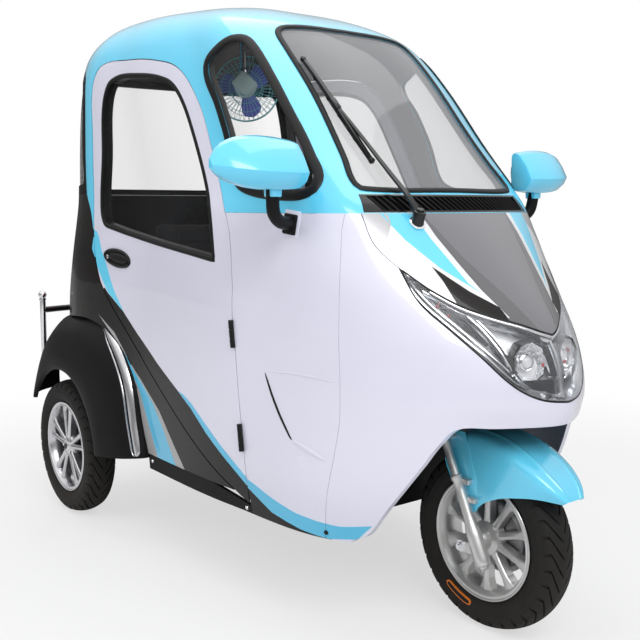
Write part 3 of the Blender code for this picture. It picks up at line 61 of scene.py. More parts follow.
# Body surface: height, nose x, half width of the front face, crown of that face, shoulder x,
# shoulder half width, half width at the door's front, middle and rear, tail x
BODY_SECTIONS = (
    (0.260, 0.890, 0.200, 0.030, 0.670, 0.370, 0.440, 0.448, 0.440, -0.950),
    (0.400, 0.980, 0.180, 0.040, 0.730, 0.382, 0.450, 0.458, 0.450, -0.980),
    (0.580, 1.068, 0.120, 0.045, 0.790, 0.352, 0.455, 0.465, 0.455, -1.000),
    (0.660, 1.085, 0.120, 0.045, 0.800, 0.346, 0.456, 0.466, 0.455, -1.005),
    (0.750, 1.065, 0.120, 0.045, 0.800, 0.338, 0.456, 0.466, 0.452, -1.005),
    (0.830, 1.018, 0.130, 0.045, 0.780, 0.340, 0.453, 0.462, 0.448, -1.000),
    (0.950, 0.905, 0.170, 0.045, 0.740, 0.342, 0.443, 0.455, 0.440, -0.980),
    (1.109, 0.745, 0.230, 0.035, 0.665, 0.335, 0.422, 0.440, 0.425, -0.950),
    (1.180, 0.665, 0.245, 0.030, 0.600, 0.345, 0.412, 0.436, 0.420, -0.940),
    (1.320, 0.530, 0.260, 0.025, 0.465, 0.350, 0.404, 0.432, 0.415, -0.925),
    (1.480, 0.390, 0.260, 0.022, 0.325, 0.352, 0.398, 0.428, 0.408, -0.900),
    (1.600, 0.275, 0.250, 0.022, 0.210, 0.340, 0.388, 0.420, 0.400, -0.855),
    (1.670, 0.190, 0.230, 0.022, 0.120, 0.315, 0.368, 0.402, 0.380, -0.805),
    (1.725, 0.060, 0.180, 0.018, -0.010, 0.260, 0.322, 0.360, 0.335, -0.740),
    (1.762, -0.090, 0.120, 0.010, -0.150, 0.180, 0.250, 0.290, 0.265, -0.660),
    (1.785, -0.270, 0.050, 0.004, -0.300, 0.080, 0.120, 0.145, 0.130, -0.560),
    (1.790, -0.420, 0.000, 0.000, -0.420, 0.000, 0.000, 0.000, 0.000, -0.420),
)
ROW_STEPS = 5
COLUMN_STEPS = (8, 9, 9, 10, 6, 9, 7)
BELT = 1.109
SILL_TOP = 0.312

# Side outlines: x, z, 1 for a sharp corner
DOOR_OUTLINE = (
    (-0.600, 1.380, 0), (-0.611, 1.530, 0), (-0.565, 1.598, 0), (-0.400, 1.600, 0),
    (-0.230, 1.580, 0), (-0.097, 1.540, 0), (0.018, 1.429, 0), (0.096, 1.293, 0),
    (0.167, 1.158, 0), (0.235, 1.032, 0), (0.284, 0.810, 0), (0.311, 0.515, 0),
    (0.326, 0.297, 1), (0.151, 0.378, 0), (-0.041, 0.497, 0), (-0.268, 0.658, 0),
    (-0.491, 0.857, 0), (-0.551, 0.975, 0), (-0.583, 1.180, 0),
)
DOOR_WINDOW = (
    (-0.548, 1.300, 0), (-0.552, 1.480, 0), (-0.505, 1.553, 0), (-0.330, 1.555, 0),
    (-0.150, 1.520, 0), (-0.070, 1.462, 0), (0.010, 1.345, 0), (0.122, 1.140, 0),
    (0.185, 0.967, 1), (-0.500, 1.055, 0), (-0.545, 1.120, 0),
)
QUARTER_WINDOW = (
    (0.045, 1.535, 0), (0.110, 1.590, 0), (0.180, 1.612, 0), (0.234, 1.583, 0),
    (0.333, 1.483, 0), (0.430, 1.369, 0), (0.516, 1.268, 0), (0.572, 1.195, 0),
    (0.560, 1.158, 0), (0.474, 1.148, 0), (0.300, 1.165, 0), (0.225, 1.200, 0),
    (0.173, 1.321, 0), (0.116, 1.421, 0),
)
CABIN_ZONE = (
    (1.300, BELT, 1), (1.300, 2.000, 1), (-1.300, 2.000, 1), (-1.300, 1.605, 1),
    (-0.720, 1.605, 1), (-0.690, 1.565, 0), (-0.655, 1.180, 0), (-0.612, 1.105, 0),
    (-0.580, 1.030, 1), (-0.587, 0.980, 1), (-0.523, 0.900, 0), (-0.470, 0.838, 1),
    (-0.400, 0.850, 1), (-0.200, BELT, 1),
)
REAR_FRAME_ZONE = (
    (-1.300, 1.170, 1), (-0.500, 1.170, 1), (-0.500, 1.700, 1), (-1.300, 1.700, 1),
)
REAR_WINDOW = (
    (-1.300, 1.205, 1), (-0.700, 1.205, 0), (-0.702, 1.300, 0), (-0.727, 1.530, 0),
    (-0.752, 1.575, 0), (-1.300, 1.575, 1),
)
QUARTER_ZONE = (
    (-0.800, 1.1694, 1), (-0.500, 1.1694, 1), (-0.100, 0.900, 1), (0.285, SILL_TOP, 1),
    (-0.770, SILL_TOP, 1), (-0.745, 0.650, 1), (-0.785, 0.900, 1),
)
REAR_ZONE = (
    (-1.300, SILL_TOP, 1), (-0.600, SILL_TOP, 1), (-0.600, 1.1694, 1), (-1.300, 1.1694, 1),
)
SIDE_PANEL_ZONE = (
    (0.000, BELT - SEAM, 1), (0.649, BELT - SEAM, 1), (0.671, 0.944, 0), (0.678, 0.764, 0),
    (0.688, 0.670, 0), (0.684, 0.560, 0), (0.665, 0.440, 0), (0.621, 0.250, 1),
    (0.345, 0.250, 1), (0.290, 0.600, 1), (0.200, 0.950, 1),
)
NOSE_ZONE = (
    (0.500, BELT - SEAM, 1), (1.300, BELT - SEAM, 1), (1.300, 0.592, 1), (1.000, 0.592, 1),
    (0.941, 0.590, 0), (0.905, 0.548, 0), (0.868, 0.483, 0), (0.826, 0.415, 0),
    (0.774, 0.340, 0), (0.735, 0.290, 0), (0.690, 0.262, 0), (0.690, 0.240, 1),
    (0.500, 0.240, 1),
)
SILL_ZONE = (
    (-0.290, 0.240, 1), (0.640, 0.240, 1), (0.640, 0.266, 1), (0.420, 0.282, 1),
    (0.330, 0.284, 1), (0.150, SILL_TOP - SEAM, 1), (-0.290, SILL_TOP - SEAM, 1),
)

# Front outlines, right half: y, z, 1 for a sharp corner
WINDSCREEN = (
    (0.000, 1.662, 0), (0.200, 1.655, 0), (0.255, 1.634, 0), (0.268, 1.580, 0),
    (0.270, 1.400, 0), (0.284, 1.260, 0), (0.299, 1.190, 0), (0.280, 1.166, 0),
    (0.000, 1.163, 0),
)
COWL = ((0.000, 1.158, 1), (0.300, 1.158, 1), (0.312, 1.1105, 1), (0.000, 1.1105, 1))
HOOD = (
    (0.000, 1.1084, 1), (0.318, 1.1084, 1), (0.316, 1.036, 0), (0.290, 0.986, 0),
    (0.239, 0.925, 0), (0.193, 0.888, 0), (0.138, 0.862, 0), (0.077, 0.841, 0),
    (0.030, 0.822, 0), (0.000, 0.813, 1),
)
LENS = (
    (0.000, 0.8120, 1), (0.030, 0.8210, 0), (0.077, 0.8400, 0), (0.138, 0.8610, 0),
    (0.193, 0.8870, 0), (0.239, 0.9240, 0), (0.272, 0.9620, 0), (0.283, 0.975, 1),
    (0.268, 0.892, 0), (0.229, 0.827, 0), (0.192, 0.772, 0), (0.137, 0.699, 0),
    (0.077, 0.663, 0), (0.000, 0.651, 1),
)
TAIL_LAMP = ((0.290, 0.780, 1), (0.375, 0.780, 0), (0.390, 0.990, 0), (0.300, 0.990, 1))
REAR_AXLE = Vector((-0.750, 0.0, 0.2445))
FRONT_AXLE = Vector((0.850, 0.0, 0.2445))
REAR_FENDER_STATIONS = (
    (150.0, 0.335), (138.0, 0.390), (122.0, 0.445), (105.0, 0.478), (88.0, 0.485),
    (70.0, 0.515), (52.0, 0.542), (36.0, 0.535), (20.0, 0.500), (6.0, 0.502),
)
FENDER_LIP = 0.290
FENDER_INNER = 0.425
ARCH_BOTTOM = 0.10
FRONT_FENDER_STATIONS = (
    (98.0, 0.298, 0.081, 0.190), (92.0, 0.299, 0.081, 0.208), (84.5, 0.300, 0.081, 0.216),
    (72.0, 0.302, 0.081, 0.182), (60.0, 0.304, 0.080, 0.146), (48.0, 0.308, 0.074, 0.100),
    (38.0, 0.313, 0.056, 0.048), (32.0, 0.314, 0.034, 0.014),
)
# Tab that the front fender is bolted by: x, z
FENDER_TAB = ((0.822, 0.538), (0.792, 0.538), (0.768, 0.500), (0.752, 0.452), (0.758, 0.432),
              (0.792, 0.376), (0.822, 0.334), (0.848, 0.3270), (0.870, 0.336), (0.866, 0.420))


# Creases along the side: how far they stand out, reach above and below, x and z of each
CREASES = (
    (0.0045, 0.050, 0.120, ((-0.560, 0.875), (-0.340, 0.866), (0.272, 0.848), (0.690, 0.820))),
    (0.0040, 0.045, 0.100, ((0.580, 0.712), (0.685, 0.694), (0.788, 0.675), (0.962, 0.617))),
)

# Paint on the hood's right half: name, finish, lift, (distance from the middle, height)
HOOD_PAINT = (
    ("hood_field", "stripe_white", 0.0005, (
        (0.350, 1.125), (0.168, 1.125), (0.160, 1.050), (0.142, 0.985), (0.122, 0.920),
        (0.092, 0.855), (0.160, 0.860), (0.350, 0.950))),
    ("hood_shade", "hood_shade", 0.0005, (
        (0.160, 1.106), (0.120, 1.000), (0.070, 0.910), (0.030, 0.815), (0.094, 0.840),
        (0.119, 0.920), (0.138, 0.985), (0.155, 1.050))),
    ("hood_silver", "stripe_silver", 0.0009, (
        (0.350, 1.125), (0.252, 1.125), (0.258, 1.085), (0.285, 1.045), (0.302, 1.010),
        (0.350, 1.020))),
    ("hood_wedge", "sky", 0.0009, (
        (0.282, 1.125), (0.190, 1.125), (0.178, 1.047), (0.160, 0.988), (0.144, 0.935),
        (0.127, 0.914), (0.193, 0.974), (0.243, 1.043))),
    ("hood_point", "charcoal", 0.0009, (
        (0.211, 0.978), (0.152, 0.917), (0.103, 0.880), (0.098, 0.850), (0.192, 0.860),
        (0.201, 0.941))),
)
# Parts of the door painted as the panels round it
DOOR_PAINT = (
    ("foot", (
        (-0.490, 0.850), (-0.466, 0.831), (-0.373, 0.776), (-0.277, 0.706), (-0.148, 0.630),
        (-0.005, 0.556), (0.061, 0.519), (0.140, 0.458), (0.214, 0.410), (0.323, 0.344),
        (0.370, 0.318), (0.370, 0.200), (0.000, 0.200), (-0.600, 0.700))),
    ("edge", (
        (-0.640, 1.060), (-0.561, 1.040), (-0.545, 1.022), (-0.523, 0.978), (-0.468, 0.902),
        (-0.422, 0.834), (-0.369, 0.774), (-0.466, 0.832), (-0.523, 0.893), (-0.600, 0.980))),
)
# Paint on each side: name, finish, body, lift, (x, height)
SIDE_PAINT = (
    ("quarter_wedge", "stripe_grey", "chassis", 0.0005, (
        (-0.526, 0.752), (-0.417, 0.673), (-0.288, 0.571), (-0.149, 0.472), (-0.004, 0.310),
        (-0.300, 0.310), (-0.330, 0.600), (-0.430, 0.700))),
    ("quarter_band", "stripe_blue", "chassis", 0.0009, (
        (-0.378, 0.640), (-0.302, 0.573), (-0.240, 0.527), (-0.189, 0.487), (-0.134, 0.421),
        (-0.060, 0.310), (-0.181, 0.310), (-0.240, 0.435), (-0.283, 0.521))),
    ("door_band", "stripe_blue", "door", 0.0009, (
        (-0.012, 0.560), (0.061, 0.519), (0.140, 0.458), (0.214, 0.410), (0.323, 0.344),
        (0.350, 0.331), (0.350, 0.356), (0.318, 0.370), (0.216, 0.433), (0.143, 0.482),
        (0.063, 0.536), (0.018, 0.555))),
    ("panel_band", "stripe_blue", "chassis", 0.0005, (
        (0.300, 0.382), (0.326, 0.363), (0.437, 0.333), (0.533, 0.313), (0.617, 0.306),
        (0.650, 0.304), (0.650, 0.259), (0.603, 0.263), (0.546, 0.268), (0.434, 0.289),
        (0.341, 0.331), (0.300, 0.346))),
    ("nose_band", "stripe_blue", "chassis", 0.0005, (
        (0.600, 0.307), (0.617, 0.306), (0.673, 0.304), (0.704, 0.309), (0.752, 0.318),
        (0.707, 0.272), (0.677, 0.268), (0.634, 0.261), (0.600, 0.262))),
    ("panel_foot", "charcoal", "chassis", 0.0003, (
        (0.120, 0.420), (0.341, 0.331), (0.434, 0.290), (0.546, 0.269), (0.603, 0.264),
        (0.650, 0.260), (0.650, 0.230), (0.120, 0.230))),
)


# Finishes

def finish(name, colour, rough=0.4, metal=0.0, coat=0.0, vary=0.05, blotch=6.0, grain=900.0,
           bump=0.05, depth=0.0002, stretch=(1, 1, 1), dust=0.0, dust_top=0.3, shine=0.5):
    """A procedural finish: soft colour drift, uneven gloss, fine grain in the normal, and
    dust that thins out upwards."""
    made = bpy.data.materials.new(name)
    made.use_nodes = True
    tree = made.node_tree
    shader = tree.nodes["Principled BSDF"]
    link = tree.links.new
    place = tree.nodes.new("ShaderNodeTexCoord")
    spread = tree.nodes.new("ShaderNodeMapping")
    spread.inputs["Scale"].default_value = stretch
    link(place.outputs["Object"], spread.inputs["Vector"])
    drift = tree.nodes.new("ShaderNodeTexNoise")
    drift.inputs["Scale"].default_value = blotch
    drift.inputs["Detail"].default_value = 5.0
    link(spread.outputs["Vector"], drift.inputs["Vector"])
    tone = tree.nodes.new("ShaderNodeMix")
    tone.data_type = "RGBA"
    tone.inputs["A"].default_value = (*[c * (1 - vary) for c in colour], 1)
    tone.inputs["B"].default_value = (*[min(1.0, c * (1 + vary)) for c in colour], 1)
    link(drift.outputs["Fac"], tone.inputs["Factor"])
    base = tone.outputs["Result"]
    speck = tree.nodes.new("ShaderNodeTexNoise")
    speck.inputs["Scale"].default_value = grain
    speck.inputs["Detail"].default_value = 3.0
    link(spread.outputs["Vector"], speck.inputs["Vector"])
    gloss = tree.nodes.new("ShaderNodeMapRange")
    gloss.inputs["To Min"].default_value = rough * 0.8
    gloss.inputs["To Max"].default_value = min(1.0, rough * 1.2)
    link(drift.outputs["Fac"], gloss.inputs["Value"])
    rough_out = gloss.outputs["Result"]
    if dust:
        split = tree.nodes.new("ShaderNodeSeparateXYZ")
        link(place.outputs["Object"], split.inputs["Vector"])
        low = tree.nodes.new("ShaderNodeMapRange")
        low.inputs["From Min"].default_value = 0.0
        low.inputs["From Max"].default_value = dust_top
        low.inputs["To Min"].default_value = dust
        low.inputs["To Max"].default_value = 0.0
        link(split.outputs["Z"], low.inputs["Value"])
        patch = tree.nodes.new("ShaderNodeMath")
        patch.operation = "MULTIPLY"
        link(low.outputs["Result"], patch.inputs[0])
        link(drift.outputs["Fac"], patch.inputs[1])
        dirty = tree.nodes.new("ShaderNodeMix")
        dirty.data_type = "RGBA"
        dirty.inputs["B"].default_value = (0.22, 0.18, 0.13, 1)
        link(patch.outputs["Value"], dirty.inputs["Factor"])
        link(base, dirty.inputs["A"])
        base = dirty.outputs["Result"]
    link(base, shader.inputs["Base Color"])
    link(rough_out, shader.inputs["Roughness"])
    if bump:
        raised = tree.nodes.new("ShaderNodeBump")
        raised.inputs["Strength"].default_value = bump
        raised.inputs["Distance"].default_value = depth
        link(speck.outputs["Fac"], raised.inputs["Height"])
        link(raised.outputs["Normal"], shader.inputs["Normal"])
    shader.inputs["Metallic"].default_value = metal
    shader.inputs["Specular IOR Level"].default_value = shine
    shader.inputs["Coat Weight"].default_value = coat
    shader.inputs["Coat Roughness"].default_value = 0.04
    return made


def glass_finish(name, tint, see, rough=0.015):
    """Thin glass: clear where it faces the eye, mirror-like at grazing angles."""
    made = finish(name, tint, rough, vary=0.02, bump=0, shine=1.0)
    tree = made.node_tree
    shader = tree.nodes["Principled BSDF"]
    facing = tree.nodes.new("ShaderNodeLayerWeight")
    facing.inputs["Blend"].default_value = 0.5
    steep = tree.nodes.new("ShaderNodeMath")
    steep.operation = "POWER"
    steep.inputs[1].default_value = 3.5
    tree.links.new(facing.outputs["Facing"], steep.inputs[0])
    reach = tree.nodes.new("ShaderNodeMapRange")
    reach.inputs["To Min"].default_value = see
    tree.links.new(steep.outputs["Value"], reach.inputs["Value"])
    tree.links.new(reach.outputs["Result"], shader.inputs["Alpha"])
    return made


FINISH = {
    "sky": finish("sky_paint", (0.140, 0.700, 1.000), 0.22, coat=1.0, vary=0.03, bump=0.02),
    "white": finish("white_paint", (0.760, 0.750, 0.880), 0.25, coat=1.0, vary=0.02,
                    bump=0.02),
    "charcoal": finish("charcoal_paint", (0.0105, 0.0090, 0.0085), 0.24, coat=0.35,
                       bump=0.03, shine=0.12),
    "grey": finish("hood_paint", (0.150, 0.150, 0.167), 0.25, coat=1.0, bump=0.03),
    "stripe_blue": finish("stripe_blue", (0.080, 0.520, 0.800), 0.3, coat=0.8),
    "stripe_grey": finish("stripe_grey", (0.400, 0.400, 0.405), 0.35, coat=0.6),
    "stripe_white": finish("stripe_white", (0.820, 0.830, 0.850), 0.3, coat=0.8),
    "stripe_silver": finish("stripe_silver", (0.500, 0.500, 0.520), 0.3, 0.3, coat=0.8),
    "hood_shade": finish("hood_shade", (0.105, 0.102, 0.110), 0.25, coat=1.0),
    "black": finish("black_moulding", (0.0075, 0.0075, 0.008), 0.5, vary=0.12, bump=0.3,
                    depth=0.0004, grain=500.0, dust=0.04, dust_top=0.30, shine=0.14),
    "gloss_black": finish("gloss_black", (0.007, 0.007, 0.008), 0.3, coat=0.35, vary=0.1,
                          bump=0.05, shine=0.3),
    "seal": finish("rubber_seal", (0.007, 0.007, 0.0075), 0.45, vary=0.1, bump=0.1, shine=0.25),
    "tyre": finish("tyre_rubber", (0.013, 0.0125, 0.012), 0.7, vary=0.25, blotch=30.0,
                   bump=0.35, depth=0.0006, grain=350.0, dust=0.08, dust_top=0.40, shine=0.25),
    "chrome": finish("chrome", (0.80, 0.80, 0.82), 0.08, 1.0, vary=0.02, bump=0.01),
    "alloy": finish("cast_alloy", (0.66, 0.655, 0.65), 0.34, 0.75, vary=0.05, bump=0.15,
                    depth=0.0003),
    "bright_alloy": finish("bright_alloy", (0.66, 0.66, 0.68), 0.24, 0.95, vary=0.04,
                           bump=0.08),
    "steel_bright": finish("brake_steel", (0.33, 0.33, 0.34), 0.35, 0.9, vary=0.12,
                           blotch=25.0, bump=0.1),
    "steel": finish("frame_steel", (0.030, 0.030, 0.033), 0.45, 0.2, vary=0.1, bump=0.1,
                    dust=0.2),
    # Teal of the fan's guard and bands: its own colour, raised brighter as painted light to make
    # up for the dim light inside the cabin.
    "teal": finish("teal_enamel_and_painted_light", (0.28, 0.74, 0.78), 0.3, coat=0.4, bump=0.03),
    "violet": finish("violet_blade", (0.24, 0.26, 0.85), 0.25, vary=0.05, bump=0.02),
    "facet": finish("faceted_chrome", (0.80, 0.81, 0.83), 0.07, 1.0, vary=0.02, bump=1.0,
                    depth=0.006, grain=60.0),
    "seat_fabric": finish("seat_fabric", (0.020, 0.020, 0.022), 0.85, vary=0.10, bump=0.6,
                          depth=0.0006, grain=420.0, stretch=(1.0, 3.0, 1.0), shine=0.3),
    "red": finish("red_lens", (0.42, 0.012, 0.012), 0.12, coat=1.0, vary=0.05, bump=0.05,
                  depth=0.0005, grain=300.0),
    "lining": finish("roof_lining", (0.120, 0.116, 0.114), 0.85, vary=0.10, bump=0.4,
                     depth=0.0005, grain=700.0),
    "orange": finish("orange_mark", (0.800, 0.210, 0.020), 0.5, vary=0.08),
    "silver_plate": finish("lamp_reflector", (0.86, 0.87, 0.89), 0.14, 1.0, vary=0.02,
                           bump=0.02),
    "lamp_dark": finish("lamp_backing", (0.88, 0.89, 0.92), 0.28, 0.25, coat=0.6, vary=0.04,
                        bump=0.15, depth=0.002, grain=60.0),
    # Pale label of the fan's motor and case: its own colour, raised brighter as painted light to
    # make up for the dim light inside the cabin.
    "label": finish("blank_label_and_painted_light", (0.70, 0.95, 0.95), 0.5, vary=0.03),
    "glass": glass_finish("window_glass", (0.060, 0.062, 0.065), 0.02),
    # The windscreen's pale grey tint, at least 0.24 opaque, is a painted reflection: a milky veil
    # standing in for the bright studio mirrored in the glass.
    "screen": glass_finish("windscreen_painted_reflection", (0.420, 0.430, 0.450), 0.24),
    "lens": glass_finish("lamp_glass", (0.60, 0.62, 0.66), 0.07),
}


# Making pieces

def show(item, name, look, body, *nodes):
    """Name a finished piece, give it its finish and set it on its body."""
    item.name = name
    item.data.name = name
    for group in list(item.users_collection):
        group.objects.unlink(item)
    bpy.context.scene.collection.objects.link(item)
    item.data.materials.clear()
    item.data.materials.append(FINISH[look])
    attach(item, body)
    if nodes:
        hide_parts(*nodes)
    return item


workshop = bpy.data.collections.new("workshop")
bpy.context.scene.collection.children.link(workshop)


def new_object(name, mesh):
    item = bpy.data.objects.new(name, mesh)
    workshop.objects.link(item)
    return item


def from_bmesh(name, work, weld=0.0):
    """Turn a bmesh into an object with its faces turned outward."""
    if weld:
        bmesh.ops.remove_doubles(work, verts=work.verts, dist=weld)
    bmesh.ops.recalc_face_normals(work, faces=work.faces)
    mesh = bpy.data.meshes.new(name)
    work.to_mesh(mesh)
    work.free()
    return new_object(name, mesh)


def settle(item):
    """Apply an object's modifiers and place."""
    bpy.context.view_layer.update()
    graph = bpy.context.evaluated_depsgraph_get()
    mesh = bpy.data.meshes.new_from_object(item.evaluated_get(graph))
    mesh.transform(item.matrix_world)
    item.modifiers.clear()
    item.data = mesh
    item.matrix_world = Matrix.Identity(4)
    return item


def smooth(item, degrees=35.0):
    """Shade smooth across edges blunter than this angle."""
    item.data.shade_smooth()
    item.data.set_sharp_from_angle(angle=math.radians(degrees))
    return item


def smooth_loop(points, steps=6, closed=True):
    """Points on a Catmull-Rom curve through (a, b, corner) rows; corners stay sharp."""
    count = len(points)
    result = []
    last = count if closed else count - 1
    for i in range(last):
        a = Vector(points[i][:2])
        b = Vector(points[(i + 1) % count][:2])
        before = Vector(points[i - 1][:2]) if closed or i else a
        after = Vector(points[(i + 2) % count][:2]) if closed or i + 2 < count else b
        span = (b - a).length
        sharp_a = points[i][2]
        sharp_b = points[(i + 1) % count][2]
        lean_a = (b - a) if sharp_a else (b - before).normalized() * span
        lean_b = (b - a) if sharp_b else (after - a).normalized() * span
        for k in range(steps):
            t = k / steps
            result.append(a * (2 * t**3 - 3 * t**2 + 1) + lean_a * (t**3 - 2 * t**2 + t)
                          + b * (3 * t**2 - 2 * t**3) + lean_b * (t**3 - t**2))
    if not closed:
        result.append(Vector(points[-1][:2]))
    return result


def grow_loop(loop, gap, rear_extra=0.0):
    """Offset a closed loop outward by gap, and by rear_extra more where it faces rearward."""
    area = sum(p.x * q.y - q.x * p.y for p, q in zip(loop, loop[1:] + loop[:1]))
    turn = 1.0 if area > 0 else -1.0
    result = []
    for i, p in enumerate(loop):
        d1 = (p - loop[i - 1]).normalized()
        d2 = (loop[(i + 1) % len(loop)] - p).normalized()
        n1 = Vector((d1.y, -d1.x)) * turn
        n2 = Vector((d2.y, -d2.x)) * turn
        n = (n1 + n2).normalized()
        reach = 1.0 / max(0.5, n.dot(n1))
        result.append(p + n * reach * (gap + rear_extra * max(0.0, -n.x)))
    return result


def both_halves(points, steps=6):
    """A front outline's right half joined with its mirror image, as (y, z) points."""
    right = [Vector((-p.x, p.y)) for p in smooth_loop(points, steps, closed=False)]
    return right + [Vector((-p.x, p.y)) for p in reversed(right) if abs(p.x) > 1e-9]


def prism(name, loop, axis, low, high):
    """A closed prism along Y or X over a side or front loop."""
    loop = [Vector(p) for p in loop]
    work = bmesh.new()
    rows = []
    for end in (low, high):
        rows.append([work.verts.new((p.x, end, p.y) if axis == "Y" else (end, p.x, p.y))
                     for p in loop])
    for i in range(len(loop)):
        j = (i + 1) % len(loop)
        work.faces.new((rows[0][i], rows[0][j], rows[1][j], rows[1][i]))
    work.faces.new(rows[0])
    work.faces.new(rows[1])
    return from_bmesh(name, work)


def side_prism(points, low=-0.8, high=0.8, grow=0.0, rear_extra=0.0):
    loop = smooth_loop(points)
    return prism("zone", grow_loop(loop, grow, rear_extra), "Y", low, high)


def front_prism(points, low=0.0, high=1.5, grow=0.0):
    return prism("zone", grow_loop(both_halves(points), grow), "X", low, high)


def side_span(side, inner=0.03, outer=0.8):
    """Low and high y of one side."""
    return (-outer, -inner) if side < 0 else (inner, outer)


def body_row(at):
    """A row of the body surface at a fractional row number."""
    last = len(BODY_SECTIONS) - 1
    i = min(int(at), last - 1)
    t = at - i
    rows = [BODY_SECTIONS[min(max(k, 0), last)] for k in (i - 1, i, i + 1, i + 2)]
    result = []
    for before, a, b, after in zip(*rows):
        lean_a = (b - before) / 2 if i else b - a
        lean_b = (after - a) / 2 if i + 2 <= last else b - a
        result.append((2 * t**3 - 3 * t**2 + 1) * a + (t**3 - 2 * t**2 + t) * lean_a
                      + (3 * t**2 - 2 * t**3) * b + (t**3 - t**2) * lean_b)
    return result


def half_section(row):
    """Points of a level section from the nose round the right side to the tail."""
    height, nose, face, crown, shoulder, shoulder_w, door_w, middle_w, rear_w, tail = row
    span = shoulder - tail
    door_x = shoulder - 0.26 * span
    rear_x = tail + 0.075 * span
    knots = [(nose, 0), (nose - crown, face), (shoulder, shoulder_w), (door_x, door_w),
             ((door_x + rear_x) / 2, middle_w), (rear_x, rear_w),
             (tail + 0.012 * min(1.0, span), rear_w * 0.78), (tail, 0)]
    around = [(knots[1][0], -knots[1][1])] + knots + [(knots[-2][0], -knots[-2][1])]
    around = [Vector(p) for p in around]
    gaps = [max((q - p).length, 1e-9) for p, q in zip(around, around[1:])]
    leans = []
    for i in range(1, len(around) - 1):
        a, b = gaps[i - 1], gaps[i]
        leans.append(((around[i] - around[i - 1]) / a * b
                      + (around[i + 1] - around[i]) / b * a) / (a + b))
    points = []
    for i, steps in enumerate(COLUMN_STEPS):
        a, b, length = around[i + 1], around[i + 2], gaps[i + 1]
        for k in range(steps):
            t = k / steps
            points.append(a * (2 * t**3 - 3 * t**2 + 1)
                          + leans[i] * length * (t**3 - 2 * t**2 + t)
                          + b * (3 * t**2 - 2 * t**3)
                          + leans[i + 1] * length * (t**3 - t**2))
    points.append(around[-2])
    return [Vector((p.x, -max(p.y, 0.0), height)) for p in points]


def pressed(place):
    """How far the creases along the side stand out at a point of the body."""
    best = 0.0
    for height, above, below, line in CREASES:
        for (x1, z1), (x2, z2) in zip(line, line[1:]):
            if x1 <= place.x <= x2:
                up = place.z - z1 - (z2 - z1) * (place.x - x1) / (x2 - x1)
                span = min(place.x - line[0][0], line[-1][0] - place.x) / 0.10
                fade = max(0.0, 1 - (up / above if up > 0 else -up / below))
                best = max(best, height * fade * min(1.0, span))
    return best


def body_surface(inset):
    """The open body surface, moved inward by inset."""
    work = bmesh.new()
    rings = []
    for step in range((len(BODY_SECTIONS) - 1) * ROW_STEPS):
        half = half_section(body_row(step / ROW_STEPS))
        for p in half[1:-1]:
            p.y -= pressed(p)
        ring = half + [Vector((p.x, -p.y, p.z)) for p in reversed(half[1:-1])]
        rings.append([work.verts.new(p) for p in ring])
    count = len(rings[0])
    for low, high in zip(rings, rings[1:]):
        for i in range(count):
            j = (i + 1) % count
            work.faces.new((low[j], low[i], high[i], high[j]))
    top = BODY_SECTIONS[-1]
    peak = work.verts.new((top[1], 0, top[0]))
    for i in range(count):
        work.faces.new((rings[-1][(i + 1) % count], rings[-1][i], peak))
    work.normal_update()
    if inset:
        floor_ring = set(rings[0])
        moved = {v: v.co - v.normal * inset * v.calc_shell_factor() for v in work.verts}
        for v, place in moved.items():
            if v in floor_ring:
                place.z = BODY_SECTIONS[0][0]
            v.co = place
    return work


guide = body_surface(0.0)
guide.verts.ensure_lookup_table()
guide_normals = [v.normal.copy() for v in guide.verts]
guide_tree = BVHTree.FromBMesh(guide)
guide.faces.ensure_lookup_table()
guide_faces = [[v.index for v in f.verts] for f in guide.faces]
guide_places = [v.co.copy() for v in guide.verts]
guide.free()


def body_normal(place):
    """The smooth body surface's normal nearest to a point, and the distance to it."""
    near, _, index, distance = guide_tree.find_nearest(place)
    weights = [1.0 / ((guide_places[k] - near).length_squared + 1e-8)
               for k in guide_faces[index]]
    total = Vector((0, 0, 0))
    for weight, k in zip(weights, guide_faces[index]):
        total += guide_normals[k] * weight
    return total.normalized(), distance


def body_shading(item, reach):
    """Shade the faces that follow the body with the body's own smooth normals."""
    mesh = item.data
    normals = [Vector((0, 0, 0))] * len(mesh.loops)
    known = {}
    for face in mesh.polygons:
        normal, distance = body_normal(face.center)
        along = face.normal.dot(normal)
        if distance > reach or abs(along) < 0.9:
            face.use_smooth = False
            continue
        face.use_smooth = True
        turn = 1.0 if along > 0 else -1.0
        for loop in face.loop_indices:
            corner = mesh.loops[loop].vertex_index
            if corner not in known:
                known[corner] = body_normal(mesh.vertices[corner].co)[0]
            normals[loop] = known[corner] * turn
    mesh.normals_split_custom_set(normals)
    return item


skins = {}


def skin(wall, inset):
    """The body surface set in by inset, with a wall inward."""
    key = (wall, inset)
    if key not in skins:
        item = from_bmesh("skin", body_surface(inset))
        shell = item.modifiers.new("wall", "SOLIDIFY")
        shell.thickness = wall
        shell.offset = -1.0
        shell.use_even_offset = True
        skins[key] = settle(item)
        item.hide_render = True
    return new_object("panel", skins[key].data.copy())


def trim(item, zones=(), cuts=(), solver="MANIFOLD"):
    """Keep what lies in each zone and outside each cut."""
    for tool, operation in [(z, "INTERSECT") for z in zones] + [(c, "DIFFERENCE")
                                                                for c in cuts]:
        step = item.modifiers.new(operation, "BOOLEAN")
        step.operation = operation
        step.solver = solver
        step.object = tool
    return settle(item)


def panel(name, look, body, nodes, zones, cuts=(), wall=0.012, inset=0.0):
    """A body panel cut from the skin and shaded with the body's normals."""
    item = trim(skin(wall, inset), zones, cuts)
    body_shading(item, wall + abs(inset) + 0.01)
    return show(item, name, look, body, *nodes)


def on_body(a, b, side=None):
    """The body surface's point and normal at side-view (x, z), or at front-view (y, z)."""
    if side is None:
        start, way = Vector((2.0, a, b)), Vector((-1, 0, 0))
    else:
        start, way = Vector((a, side * 1.5, b)), Vector((0, -side, 0))
    place = guide_tree.ray_cast(start, way)[0]
    return place, body_normal(place)[0]


